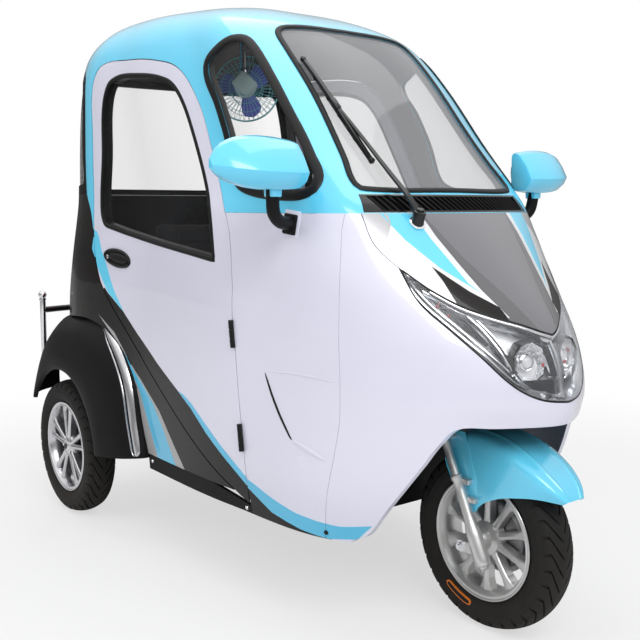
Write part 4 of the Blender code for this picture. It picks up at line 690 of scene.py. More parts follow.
def spaced(loop, gap, closed=True):
    """The loop's points resampled at an even gap."""
    points = loop + loop[:1] if closed else loop
    result = [points[0].copy()]
    need = gap
    for a, b in zip(points, points[1:]):
        length = (b - a).length
        done = 0.0
        while length - done >= need:
            done += need
            result.append(a.lerp(b, done / length))
            need = gap
        need -= length - done
    if closed and (result[-1] - result[0]).length < gap * 0.5:
        result.pop()
    return result


def sweep(name, places, ups, profile, closed=False, scales=None):
    """A profile of (across, up) points swept along places, whose up vectors are given."""
    work = bmesh.new()
    rows = []
    count = len(places)
    for i, (place, up) in enumerate(zip(places, ups)):
        after = places[(i + 1) % count] if closed or i + 1 < count else place
        before = places[i - 1] if closed or i else place
        along = (after - before).normalized()
        across = up.cross(along).normalized()
        lift = along.cross(across).normalized()
        scale = scales[i] if scales else 1.0
        rows.append([work.verts.new(place + across * a * scale + lift * u * scale)
                     for a, u in profile])
    size = len(profile)
    pairs = list(zip(rows, rows[1:]))
    if closed:
        pairs.append((rows[-1], rows[0]))
    for low, high in pairs:
        for i in range(size):
            j = (i + 1) % size
            work.faces.new((low[i], low[j], high[j], high[i]))
    if not closed:
        work.faces.new(rows[0])
        work.faces.new(rows[-1])
    return smooth(from_bmesh(name, work), 50)


def oval(width, height, sides=10, sink=0.3):
    """A rounded strip profile that stands height above the surface and sinks a little."""
    return [(math.cos(k * math.tau / sides) * width / 2,
             (math.sin(k * math.tau / sides) * (1 + sink) + (1 - sink)) * height / 2)
            for k in range(sides)]


def seal(name, look, body, loop, side, width, height, gap=0.012, closed=True, lift=0.0):
    """A rounded strip along a side or front loop on the body surface."""
    points = spaced(loop, gap, closed)
    spots = [on_body(p.x, p.y, side) for p in points]
    item = sweep(name, [p + n * lift for p, n in spots], [n for p, n in spots],
                 oval(width, height), closed)
    return show(item, name, look, body)


def joined(items):
    """Several objects' meshes as one object."""
    work = bmesh.new()
    for item in items:
        mesh = item.data
        mesh.transform(item.matrix_world)
        item.matrix_world = Matrix.Identity(4)
        work.from_mesh(mesh)
    mesh = bpy.data.meshes.new("joined")
    work.to_mesh(mesh)
    work.free()
    return new_object("joined", mesh)


def bevelled(item, width, segments=2, degrees=35.0):
    """Round an object's hard edges."""
    step = item.modifiers.new("bevel", "BEVEL")
    step.width = width
    step.segments = segments
    step.limit_method = "ANGLE"
    step.angle_limit = math.radians(degrees)
    return settle(item)


def turned(profile, steps=72, centre=(0, 0, 0), axis=(0, 1, 0)):
    """A closed ring of (radius, along) points turned about an axis."""
    work = bmesh.new()
    rows = []
    for k in range(steps):
        a = math.tau * k / steps
        rows.append([work.verts.new((r * math.cos(a), r * math.sin(a), z))
                     for r, z in profile])
    size = len(profile)
    for k in range(steps):
        low, high = rows[k], rows[(k + 1) % steps]
        for i in range(size):
            j = (i + 1) % size
            work.faces.new((low[i], low[j], high[j], high[i]))
    item = from_bmesh("turned", work, weld=1e-6)
    turn = Vector((0, 0, 1)).rotation_difference(Vector(axis)).to_matrix().to_4x4()
    item.data.transform(Matrix.Translation(centre) @ turn)
    return item


def rod(start, end, radius, sides=24, end_radius=None):
    """A cylinder or cone between two points."""
    start, end = Vector(start), Vector(end)
    work = bmesh.new()
    bmesh.ops.create_cone(work, cap_ends=True, segments=sides, radius1=radius,
                          radius2=radius if end_radius is None else end_radius,
                          depth=(end - start).length)
    item = from_bmesh("rod", work)
    turn = Vector((0, 0, 1)).rotation_difference(end - start).to_matrix().to_4x4()
    item.data.transform(Matrix.Translation((start + end) / 2) @ turn)
    return item


def block(low, high):
    """A box between two corners."""
    work = bmesh.new()
    bmesh.ops.create_cube(work, size=1.0)
    item = from_bmesh("block", work)
    low, high = Vector(low), Vector(high)
    item.data.transform(Matrix.Translation((low + high) / 2)
                        @ Matrix.Diagonal((*(high - low), 1)))
    return item


def dome(centre, radii, u=28, v=16):
    """A sphere or ellipsoid."""
    work = bmesh.new()
    bmesh.ops.create_uvsphere(work, u_segments=u, v_segments=v, radius=1.0)
    item = from_bmesh("dome", work)
    item.data.transform(Matrix.Translation(centre) @ Matrix.Diagonal((*radii, 1)))
    return item


def bent(points, radius, sides=14, bends=6, closed=False):
    """A round tube on a smooth curve through the points."""
    line = []
    count = len(points)
    points = [Vector(p) for p in points]
    for i in range(count if closed else count - 1):
        a, b = points[i], points[(i + 1) % count]
        before = points[i - 1] if closed or i else a
        after = points[(i + 2) % count] if closed or i + 2 < count else b
        for k in range(bends):
            t = k / bends
            line.append(0.5 * (2 * a + (b - before) * t
                               + (2 * before - 5 * a + 4 * b - after) * t * t
                               + (3 * a - before - 3 * b + after) * t**3))
    if not closed:
        line.append(points[-1])
    ups = []
    up = Vector((0, 0, 1))
    for i, place in enumerate(line):
        along = (line[(i + 1) % len(line)] - place if closed or i + 1 < len(line)
                 else place - line[i - 1]).normalized()
        up = up - along * up.dot(along)
        if up.length < 0.1:
            up = along.orthogonal()
        up = up.normalized()
        ups.append(up)
    ring = [(math.cos(k * math.tau / sides) * radius, math.sin(k * math.tau / sides) * radius)
            for k in range(sides)]
    return sweep("bent", line, ups, ring, closed)


def loft(rings, closed=True, caps=True):
    """A skin over rings that each have as many points."""
    work = bmesh.new()
    rows = [[work.verts.new(p) for p in ring] for ring in rings]
    count = len(rows[0])
    for low, high in zip(rows, rows[1:]):
        for i in range(count if closed else count - 1):
            j = (i + 1) % count
            work.faces.new((low[i], low[j], high[j], high[i]))
    if caps:
        work.faces.new(rows[0])
        work.faces.new(rows[-1])
    return from_bmesh("loft", work)


def thickened(item, wall, rounds=0, even=True):
    """Give an open skin a wall centred on it, after smoothing it."""
    if rounds:
        soft = item.modifiers.new("soft", "SUBSURF")
        soft.levels = rounds
        soft.render_levels = rounds
    step = item.modifiers.new("wall", "SOLIDIFY")
    step.thickness = wall
    step.offset = 0.0
    step.use_even_offset = even
    return settle(item)


# Shared cutters
door_opening = side_prism(DOOR_OUTLINE, grow=0.008, rear_extra=0.012)
cabin_zone = side_prism(CABIN_ZONE)
cabin_gap = side_prism(CABIN_ZONE, grow=SEAM)
quarter_opening = side_prism(QUARTER_WINDOW, grow=-0.010)
rear_opening = side_prism(REAR_WINDOW)
windscreen_opening = front_prism(WINDSCREEN, grow=-0.010)
cowl_opening = front_prism(COWL)
hood_zone = front_prism(HOOD)
hood_gap = front_prism(HOOD, grow=0.0014)
lens_zone = front_prism(LENS, grow=-0.0006)
lens_gap = front_prism(LENS, grow=0.0010)
side_gap = side_prism(SIDE_PANEL_ZONE, grow=0.0014)
sill_gap = side_prism(SILL_ZONE, grow=SEAM)
quarter_gap = side_prism(QUARTER_ZONE, grow=SEAM)
window_opening = side_prism(DOOR_WINDOW)


def fender_outline(grow):
    """Side outline of the rear fender, with the wheel opening inside it."""
    loop = []
    for angle, radius in REAR_FENDER_STATIONS:
        turn = math.radians(angle)
        loop.append((REAR_AXLE.x + radius * math.cos(turn),
                     REAR_AXLE.z + radius * math.sin(turn), 0))
    loop = smooth_loop(loop, 4, closed=False)
    loop += [Vector((loop[-1].x, ARCH_BOTTOM)), Vector((loop[0].x, ARCH_BOTTOM))]
    return grow_loop(loop, grow)


fender_gaps = [prism("fender_gap", fender_outline(SEAM), "Y", *span)
               for span in ((-0.8, -FENDER_INNER), (FENDER_INNER, 0.8))]


def tail_lamp_loop(side):
    return [Vector((side * p.x, p.y)) for p in smooth_loop(TAIL_LAMP)]


# Body panels
panel("cabin_roof", "sky", "chassis", ["cabin_shell"], [cabin_zone],
      [door_opening, quarter_opening, windscreen_opening, cowl_opening], wall=0.0085)
panel("roof_inside", "lining", "chassis", [],
      [side_prism(CABIN_ZONE, grow=-0.002)],
      [side_prism(DOOR_OUTLINE, grow=0.009, rear_extra=0.013),
       side_prism(QUARTER_WINDOW, grow=-0.012), front_prism(WINDSCREEN, grow=-0.012),
       front_prism(COWL, grow=0.004)], wall=0.0185, inset=0.0092)
# The windscreen pane's finish carries a painted reflection of the studio as a pale grey veil.
panel("windscreen_pane", "screen", "chassis", ["windscreen"],
      [front_prism(WINDSCREEN, grow=-0.0103)], wall=0.005, inset=0.003)
panel("rear_window_surround", "black", "chassis", ["rear_window_frame"],
      [side_prism(REAR_FRAME_ZONE)], [cabin_gap, rear_opening, door_opening], wall=0.026)
panel("rear_window_pane", "glass", "chassis", ["rear_window"],
      [side_prism(REAR_WINDOW, grow=-0.0003)], wall=0.005, inset=0.004)
panel("nose", "white", "chassis", ["nose_panel"], [side_prism(NOSE_ZONE)],
      [side_gap, hood_gap, lens_gap, sill_gap])
panel("hood", "grey", "chassis", ["hood_panel"], [hood_zone], [side_gap])
panel("headlamp_glass", "lens", "chassis", ["headlamp_lens"], [lens_zone], [hood_gap],
      wall=0.003)
for word, side in SIDES:
    span = side_span(side)
    leaf = "door_leaf_" + word
    panel("tail_lamp_glass_" + word, "red", "chassis", ["tail_lamp_" + word],
          [prism("zone", tail_lamp_loop(side), "X", -1.5, -0.6)], wall=0.020, inset=-0.004)
    foot, edge = [prism("zone", outline, "Y", *span)
                  for name, outline in DOOR_PAINT]
    for name, look, zones, cuts in (
            ("door_skin_", "white", [], [foot, edge]), ("door_foot_", "charcoal", [foot], []),
            ("door_edge_", "sky", [edge], [foot])):
        leaf_zone = side_prism(DOOR_OUTLINE, *span)
        panel(name + word, look, leaf, ["door_" + word] if look == "white" else [],
              [leaf_zone, *zones], [window_opening, *cuts], wall=0.034)
        panel(name + "lip_" + word, look, leaf, [],
              [side_prism(DOOR_OUTLINE, *span, grow=0.005, rear_extra=0.009), *zones],
              [side_prism(DOOR_OUTLINE, grow=-0.0002), *cuts], wall=0.003)
    panel("door_frame_" + word, "seal", leaf, [],
          [side_prism(DOOR_WINDOW, *span, grow=-0.0003)],
          [side_prism(DOOR_WINDOW, grow=-0.0140)], wall=0.029, inset=0.003)
    panel("door_pane_" + word, "glass", leaf, ["door_glass_" + word],
          [side_prism(DOOR_WINDOW, *span, grow=-0.0143)], wall=0.005, inset=0.010)
    panel("side_panel_" + word, "white", "chassis", ["front_side_panel_" + word],
          [side_prism(SIDE_PANEL_ZONE, *span)], [door_opening, sill_gap, hood_gap])
    panel("quarter_pane_" + word, "glass", "chassis", ["quarter_window_" + word],
          [side_prism(QUARTER_WINDOW, *span, grow=-0.0103)], wall=0.005, inset=0.004)
    panel("quarter_skin_" + word, "charcoal", "chassis", ["quarter_panel_" + word],
          [side_prism(QUARTER_ZONE, *span)], [cabin_gap, door_opening, *fender_gaps, side_gap])
    panel("sill_skin_" + word, "black", "chassis", ["sill_" + word],
          [side_prism(SILL_ZONE, *span)], [*fender_gaps, door_opening])
lamp_gaps = [prism("lamp_gap", grow_loop(tail_lamp_loop(side), 0.001), "X", -1.5, -0.6)
             for word, side in SIDES]
panel("rear_skin", "charcoal", "chassis", ["rear_panel"], [side_prism(REAR_ZONE)],
      [quarter_gap, cabin_gap, *fender_gaps, *lamp_gaps])

# Rubber seals
for word, side in SIDES:
    seal("quarter_seal_" + word, "seal", "chassis",
         grow_loop(smooth_loop(QUARTER_WINDOW), -0.007), side, 0.028, 0.0045)
    seal("door_window_seal_" + word, "seal", "door_leaf_" + word,
         grow_loop(smooth_loop(DOOR_WINDOW), -0.005), side, 0.016, 0.0055, lift=-0.003)
seal("windscreen_seal", "seal", "chassis", grow_loop(both_halves(WINDSCREEN), -0.006), None,
     0.018, 0.0050)

# Wheels
TYRE_RADIUS = 0.2445
REAR_WHEEL_Y = 0.492
TREAD_HALF = 0.042
TREAD_PITCHES = 34
GROOVE_DEPTH = 0.0075
# Sidewall from the bead to the shoulder: radius, distance from the middle
SIDEWALL = (
    (0.1553, 0.0368), (0.1690, 0.0410), (0.1735, 0.0452), (0.1775, 0.0458), (0.1790, 0.0470),
    (0.1860, 0.0493), (0.1930, 0.0508), (0.1990, 0.0515), (0.2000, 0.0523), (0.2030, 0.0524),
    (0.2042, 0.0518), (0.2120, 0.0520), (0.2190, 0.0515), (0.2255, 0.0492), (0.2310, 0.0455),
)
# Where lines cross the tread, as shares of a pitch, with the groove each lies in
TREAD_LINES = (
    (0.000, 0, 0), (0.025, 1, 0), (0.170, 1, 0), (0.195, 0, 0), (0.280, 0, 0), (0.400, 0, 0),
    (0.500, 0, 0), (0.525, 0, 1), (0.670, 0, 1), (0.695, 0, 0), (0.780, 0, 0), (0.900, 0, 0),
)
TREAD_ROWS = 11


def tyre(name, node, body, axle, across):
    """A tyre whose mesh lines run along its curved tread grooves."""
    profile = [(r, y, None) for r, y in SIDEWALL]
    for k in range(TREAD_ROWS + 1):
        share = 1 - 2 * k / TREAD_ROWS
        profile.append((TYRE_RADIUS - 0.0105 * share * share, TREAD_HALF * share, share))
    profile += [(r, -y, None) for r, y in reversed(SIDEWALL)]
    work = bmesh.new()
    rows = []
    pitch = math.tau / TREAD_PITCHES
    for k in range(TREAD_PITCHES):
        for place, right, left in TREAD_LINES:
            row = []
            for radius, y, share in profile:
                reach = min(1.0, abs(y) / TREAD_HALF) if radius > 0.21 else 1.0
                angle = (k + place) * pitch + pitch * 1.5 * reach**1.4
                cut = 0.0
                if (right if y < 0 else left) and radius > 0.212:
                    cut = min(1.0, max(0.0, (abs(y) / TREAD_HALF - 0.10) / 0.12))
                    cut *= min(1.0, (radius - 0.210) / 0.012)
                r = radius - GROOVE_DEPTH * cut
                row.append(work.verts.new((axle.x + r * math.cos(angle), across + y,
                                           axle.z + r * math.sin(angle))))
            rows.append(row)
    size = len(profile)
    for k in range(len(rows)):
        low, high = rows[k], rows[(k + 1) % len(rows)]
        for i in range(size - 1):
            work.faces.new((low[i], low[i + 1], high[i + 1], high[i]))
        work.faces.new((low[-1], low[0], high[0], high[-1]))
    return show(smooth(from_bmesh(name, work), 32), name, "tyre", body, node)


def rim_barrel(axle, across):
    """The rim's barrel with its double-edged flanges."""
    half = [(0.1545, 0.0360), (0.1552, 0.0405), (0.1640, 0.0412), (0.1650, 0.0438),
            (0.1640, 0.0452), (0.1610, 0.0452), (0.1590, 0.0432), (0.1560, 0.0428),
            (0.1540, 0.0440), (0.1515, 0.0436), (0.1500, 0.0400), (0.1455, 0.0330),
            (0.1420, 0.0150)]
    profile = half + [(r, -y) for r, y in reversed(half)]
    return smooth(turned(profile, 96, (axle.x, across, axle.z)), 40)


def spoke(axle, across, angle, outline, front, back, crown=0.0):
    """A cast spoke: (radius, half width) rows, its outer face crowned."""
    rings = []
    for radius, half in outline:
        base = Vector((radius, 0, 0))
        rings.append([base + Vector((0, y, w)) for y, w in (
            (back, -half), (front + 0.004, -half), (front, -half * 0.72),
            (front - crown, 0.0), (front, half * 0.72), (front + 0.004, half),
            (back, half))])
    item = loft(rings)
    item.data.transform(Matrix.Translation((axle.x, across, axle.z))
                        @ Matrix.Rotation(-angle, 4, "Y"))
    return item


FRONT_SPOKES = 10
FRONT_SPOKE = ((0.036, 0.0125), (0.060, 0.0098), (0.090, 0.0088), (0.112, 0.0100),
               (0.130, 0.0150), (0.1475, 0.0235))
REAR_SPOKES = 5
REAR_SPOKE = ((0.030, 0.0100), (0.060, 0.0085), (0.100, 0.0088), (0.130, 0.0110),
              (0.1475, 0.0150))


def front_rim():
    pieces = [rim_barrel(FRONT_AXLE, 0.0)]
    for k in range(FRONT_SPOKES):
        angle = math.radians(18) + math.tau * k / FRONT_SPOKES
        pieces.append(bevelled(spoke(FRONT_AXLE, 0.0, angle, FRONT_SPOKE, -0.024, 0.006,
                                     0.002), 0.0012))
    hub = [(0.0105, -0.066), (0.022, -0.066), (0.026, -0.062), (0.030, -0.034),
           (0.046, -0.028), (0.048, -0.020), (0.048, 0.004), (0.036, 0.010), (0.034, 0.062),
           (0.030, 0.066), (0.0105, 0.066)]
    pieces.append(smooth(turned(hub, 64, FRONT_AXLE), 40))
    show(joined(pieces), "front_rim_cast", "alloy", "front_wheel",
         "front_rim")
    disc = turned([(0.060, 0.030), (0.105, 0.030), (0.105, 0.034), (0.060, 0.034)], 96,
                  FRONT_AXLE)
    carrier = turned([(0.030, 0.026), (0.066, 0.029), (0.066, 0.035), (0.030, 0.037)], 64,
                     FRONT_AXLE)
    drum = turned([(0.028, 0.008), (0.088, 0.010), (0.092, 0.014), (0.092, 0.026),
                   (0.088, 0.029), (0.028, 0.029)], 72, FRONT_AXLE)
    show(smooth(joined([disc, carrier, drum]), 40), "front_brake_disc",
         "steel_bright", "front_wheel")


def rear_rim(word, side):
    across = side * REAR_WHEEL_Y
    centre = (REAR_AXLE.x, across, REAR_AXLE.z)
    pieces = [rim_barrel(REAR_AXLE, across)]
    for k in range(REAR_SPOKES):
        base = math.radians(90) + math.tau * k / REAR_SPOKES
        for lean in (-0.19, 0.19):
            leg = spoke(REAR_AXLE, across, base + lean, REAR_SPOKE, -0.034, -0.006, 0.003)
            if side > 0:
                leg.data.transform(Matrix.Translation((0, 2 * across, 0))
                                   @ Matrix.Diagonal((1, -1, 1, 1)))
                leg.data.flip_normals()
            pieces.append(bevelled(leg, 0.0015))
    hub = [(0.0105, side * 0.038), (0.026, side * 0.038), (0.032, side * 0.034),
           (0.040, side * 0.030), (0.044, side * 0.020), (0.044, side * -0.020),
           (0.034, side * -0.038), (0.0105, side * -0.038)]
    pieces.append(smooth(turned(hub, 64, centre), 40))
    show(joined(pieces), "rear_rim_cast_" + word, "bright_alloy",
         "rear_wheel_" + word, "rear_rim_" + word)
    drum = turned([(0.020, side * 0.004), (0.098, side * 0.002), (0.104, side * -0.004),
                   (0.104, side * -0.036), (0.020, side * -0.036)], 72, centre)
    show(smooth(drum, 40), "rear_drum_" + word, "steel", "rear_wheel_" + word)
    bolts = []
    for k in range(5):
        a = math.tau * (k + 0.5) / 5
        spot = Vector((centre[0] + 0.031 * math.cos(a), across + side * 0.030,
                       centre[2] + 0.031 * math.sin(a)))
        bolts.append(rod(spot, spot + Vector((0, side * 0.009, 0)), 0.0055, 6))
    bolts.append(smooth(dome((centre[0], across + side * 0.036, centre[2]),
                             (0.017, 0.007, 0.017), 24, 10)))
    show(joined(bolts), "rear_bolts_" + word, "chrome",
         "rear_wheel_" + word)


tyre("front_tyre_tread", "front_tyre", "front_wheel", FRONT_AXLE, 0.0)
front_rim()
for word, side in SIDES:
    tyre("rear_tyre_tread_" + word, "rear_tyre_" + word, "rear_wheel_" + word, REAR_AXLE,
         side * REAR_WHEEL_Y)
    rear_rim(word, side)


# Painted bands
def decal(name, look, body, zones, cuts, lift):
    """A thin coloured layer on the body's surface."""
    return panel(name, look, body, [], zones, cuts, wall=0.0008, inset=-lift)


for name, look, lift, outline in HOOD_PAINT:
    for word, side in SIDES:
        zone = prism("zone", [(side * y, z) for y, z in outline], "X", 0.3, 1.5)
        decal(name + "_" + word, look, "chassis", [hood_zone, zone], [side_gap], lift)
for name, look, body, lift, outline in SIDE_PAINT:
    for word, side in SIDES:
        zone = prism("zone", outline, "Y", *side_span(side))
        zones, cuts = [zone], [cabin_gap, door_opening, *fender_gaps]
        rides = "chassis"
        if body == "door":
            zones.append(side_prism(DOOR_OUTLINE, *side_span(side), grow=0.0048,
                                    rear_extra=0.009))
            cuts = [window_opening]
            rides = "door_leaf_" + word
        elif name.startswith("quarter"):
            zones.append(side_prism(QUARTER_ZONE, *side_span(side)))
        elif name.startswith("panel"):
            zones.append(side_prism(SIDE_PANEL_ZONE, *side_span(side)))
        else:
            zones.append(side_prism(NOSE_ZONE))
            cuts = [side_gap]
        decal(name + "_" + word, look, rides, zones, cuts, lift)


# Fenders
def between(rows, steps):
    """The rows of a table with smooth rows put in between."""
    result = []
    for i in range(len(rows) - 1):
        near = [rows[max(i - 1, 0)], rows[i], rows[i + 1], rows[min(i + 2, len(rows) - 1)]]
        for k in range(steps):
            t = k / steps
            result.append([0.5 * (2 * b + (c - a) * t + (2 * a - 5 * b + 4 * c - d) * t * t
                                  + (3 * b - a - 3 * c + d) * t**3)
                           for a, b, c, d in zip(*near)])
    result.append(list(rows[-1]))
    return result


# Across the rear fender: share of the way from lip to joint, distance from the middle
REAR_FENDER_ACROSS = (
    (0.000, 0.5400), (0.000, 0.5470), (0.030, 0.5505), (0.080, 0.5520), (0.220, 0.5500),
    (0.380, 0.5430), (0.550, 0.5330), (0.720, 0.5190), (0.860, 0.4985), (0.940, 0.4830),
    (0.980, 0.4740), (1.000, 0.4660), (1.000, 0.4480), (1.000, 0.4310),
)


def rear_fender_point(angle, joint, share, across, side):
    reach = FENDER_LIP + (joint - FENDER_LIP) * share
    turn = math.radians(angle)
    return Vector((REAR_AXLE.x + reach * math.cos(turn), side * across,
                   REAR_AXLE.z + reach * math.sin(turn)))


# Bright strip in the rear fender's edge: angle, low and high share of its recess
FENDER_STRIP = (
    (64.0, 0.970, 0.980), (60.0, 0.925, 0.985), (54.0, 0.870, 0.985), (46.0, 0.845, 0.985),
    (36.0, 0.838, 0.985), (26.0, 0.838, 0.985), (16.0, 0.845, 0.985), (9.0, 0.855, 0.980),
    (7.0, 0.890, 0.950),
)


def strip_on_fender(name, look, side, low, high, lift):
    """A band on the rear fender between two shares of its recess, standing out by lift."""
    stations = between(REAR_FENDER_STATIONS, 6)
    profile = between(REAR_FENDER_ACROSS, 4)
    rings = []
    for angle, foot, top in between(FENDER_STRIP, 5):
        after = next(i for i, row in enumerate(stations) if row[0] <= angle)
        (a1, j1), (a2, j2) = stations[after - 1], stations[after]
        joint = j1 + (j2 - j1) * (angle - a1) / (a2 - a1)
        ring = []
        for k in range(7):
            share = foot + (top - foot) * (low + (high - low) * k / 6)
            reach = min(max(share, 0.05), 0.998)
            place = next(i for i in range(10, len(profile)) if profile[i][0] >= reach)
            (s1, y1), (s2, y2) = profile[place - 1], profile[place]
            y = y1 + (y2 - y1) * (reach - s1) / (s2 - s1)
            crown = math.sin(math.pi * k / 6)
            ring.append(rear_fender_point(angle, joint, share + 0.006 * crown * lift / 0.002,
                                          y + lift * (0.35 + 0.65 * crown), side))
        rings.append(ring)
    item = thickened(loft(rings, closed=False, caps=False), 0.001)
    return show(smooth(item, 50), name, look, "chassis")


for word, side in SIDES:
    rings = []
    for angle, joint in between(REAR_FENDER_STATIONS, 5):
        rings.append([rear_fender_point(angle, joint, share, across, side)
                      for share, across in between(REAR_FENDER_ACROSS, 3)])
    arch = thickened(loft(rings, closed=False, caps=False), 0.005)
    show(smooth(arch, 50), "rear_fender_skin_" + word, "black", "chassis",
         "rear_fender_" + word)
    strip_on_fender("strip_recess_" + word, "seal", side, -0.10, 1.10, 0.0015)
    strip_on_fender("strip_blade_" + word, "bright_alloy", side, 0.36, 0.98, 0.0050)
    strip_on_fender("strip_edge_" + word, "bright_alloy", side, 0.06, 0.24, 0.0040)

# Front fender: share of the half width, share of the skirt, how far it stands out
FRONT_FENDER_ACROSS = (
    (0.00, 0.000, 0.0000), (0.30, 0.004, 0.0000), (0.46, 0.010, 0.0004), (0.52, 0.013, 0.0024),
    (0.56, 0.018, 0.0026), (0.62, 0.024, 0.0006), (0.78, 0.045, 0.0000), (0.90, 0.085, 0.0000),
    (0.965, 0.150, 0.0000), (0.990, 0.240, 0.0000), (1.00, 0.450, 0.0000), (1.00, 0.720, 0.0),
    (1.00, 1.000, 0.0000),
)
rings = []
for angle, crest, half, skirt in between(FRONT_FENDER_STATIONS, 6):
    turn = math.radians(angle)
    out = Vector((math.cos(turn), 0, math.sin(turn)))
    right = [FRONT_AXLE + out * (crest - skirt * down + lift) + Vector((0, -share * half, 0))
             for share, down, lift in between(FRONT_FENDER_ACROSS, 3)]
    rings.append(list(reversed(right)) + [Vector((p.x, -p.y, p.z)) for p in right[1:]])
shell = [smooth(thickened(loft(rings, closed=False, caps=False), 0.003), 35)]
for side in (-1, 1):
    ends = sorted((side * 0.0808, side * 0.0836))
    shell.append(smooth(bevelled(prism("tab", FENDER_TAB, "Y", *ends),
                                 0.0012, 2), 40))
show(joined(shell), "front_fender_skin", "sky", "steering",
     "front_fender")
bolts = []
for side in (-1, 1):
    for spot in ((0.8160, 0.4010), (0.8385, 0.3510)):
        place = Vector((spot[0], side * 0.0836, spot[1]))
        bolts.append(turned([(0.0, 0.0034), (0.0040, 0.0034), (0.0066, 0.0018),
                             (0.0072, -0.0010), (0.0, -0.0010)], 20, place,
                            Vector((0, side, 0))))
show(smooth(joined(bolts), 40), "fender_bolts", "seal", "steering")

# Fork
RAKE = math.radians(25.5)
STEER_AXIS = Vector((-math.sin(RAKE), 0, math.cos(RAKE)))
STEER_BASE = FRONT_AXLE + Vector((0.012, 0, 0))
LEG_Y = 0.105
LEG_AHEAD = 0.037
# Lower leg from its cap up: radius, distance along the leg from its foot
LOWER_LEG = (
    (0.0090, -0.008), (0.0120, -0.006), (0.0125, 0.000), (0.0180, 0.002), (0.0205, 0.006),
    (0.0210, 0.020), (0.0208, 0.080), (0.0198, 0.092), (0.0160, 0.112), (0.0140, 0.135),
    (0.0132, 0.200), (0.0128, 0.228), (0.0152, 0.231), (0.0155, 0.240), (0.0125, 0.243),
)
UPPER_LEG = (
    (0.0112, 0.236), (0.0112, 0.300), (0.0115, 0.335), (0.0175, 0.345), (0.0235, 0.372),
    (0.0240, 0.380), (0.0150, 0.382),
)


def on_steer(height, ahead=0.0):
    return (STEER_BASE + STEER_AXIS * ((height - STEER_BASE.z) / STEER_AXIS.z)
            + Vector((ahead, 0, 0)))


def on_leg(profile, side):
    ring = [(0.0, profile[0][1]), *profile, (0.0, profile[-1][1])]
    return smooth(turned(ring, 40, on_steer(0.205, LEG_AHEAD) + Vector((0, side * LEG_Y, 0)),
                         STEER_AXIS), 40)


legs = []
nuts = []
for side in (-1, 1):
    legs += [on_leg(LOWER_LEG, side), on_leg(UPPER_LEG, side)]
    across = Vector((0, side * LEG_Y, 0))
    for height in (0.365, 0.410):
        boss = on_steer(height, LEG_AHEAD)
        legs.append(bevelled(block(boss + Vector((-0.006, side * 0.083 if side > 0 else -0.100,
                                                  -0.007)),
                                   boss + Vector((0.034, 0.100 if side > 0 else -0.083,
                                                  0.007))), 0.002))
    clamp = bevelled(block(FRONT_AXLE + across - Vector((0.020, 0.013, 0.017)),
                           FRONT_AXLE + across + Vector((0.046, 0.013, 0.017))), 0.004, 3)
    legs.append(clamp)
    legs.append(smooth(rod(FRONT_AXLE + Vector((0, side * 0.0685, 0)), FRONT_AXLE + across,
                           0.0155, 32), 40))
    end = FRONT_AXLE + Vector((0, side * 0.118, 0))
    nuts.append(smooth(turned([(0.006, 0.0), (0.0150, 0.0), (0.0150, side * 0.0015),
                               (0.006, side * 0.0015)], 32, end), 30))
    nuts.append(bevelled(rod(end + Vector((0, side * 0.0015, 0)),
                             end + Vector((0, side * 0.0105, 0)), 0.0115, 6), 0.0008, 1, 20))
    nuts.append(smooth(rod(end, end + Vector((0, side * 0.0145, 0)), 0.0062, 24), 40))
crown = bevelled(block((-0.0435, -0.128, -0.015), (0.0435, 0.128, 0.015)), 0.006, 3)
crown.data.transform(Matrix.Translation(on_steer(0.515, LEG_AHEAD / 2))
                     @ Matrix.Rotation(-RAKE, 4, "Y"))
legs.append(crown)
legs.append(smooth(rod(on_steer(0.505), on_steer(0.940), 0.0165, 32), 40))
legs.append(smooth(rod(on_steer(0.525), on_steer(0.560), 0.0270, 40, 0.0220), 40))
show(joined(legs), "fork_cast", "alloy", "steering", "fork")
show(joined(nuts), "axle_nuts", "chrome", "steering")

# Mirrors: place outward, x rear, x front, z low, z high
MIRROR_SECTIONS = (
    (0.4270, 0.522, 0.604, 1.173, 1.290), (0.4500, 0.518, 0.610, 1.169, 1.295),
    (0.4900, 0.514, 0.613, 1.167, 1.300), (0.5400, 0.512, 0.612, 1.168, 1.302),
    (0.5900, 0.512, 0.601, 1.174, 1.298), (0.6250, 0.513, 0.583, 1.185, 1.287),
    (0.6520, 0.516, 0.560, 1.200, 1.268), (0.6700, 0.520, 0.538, 1.218, 1.240),
)
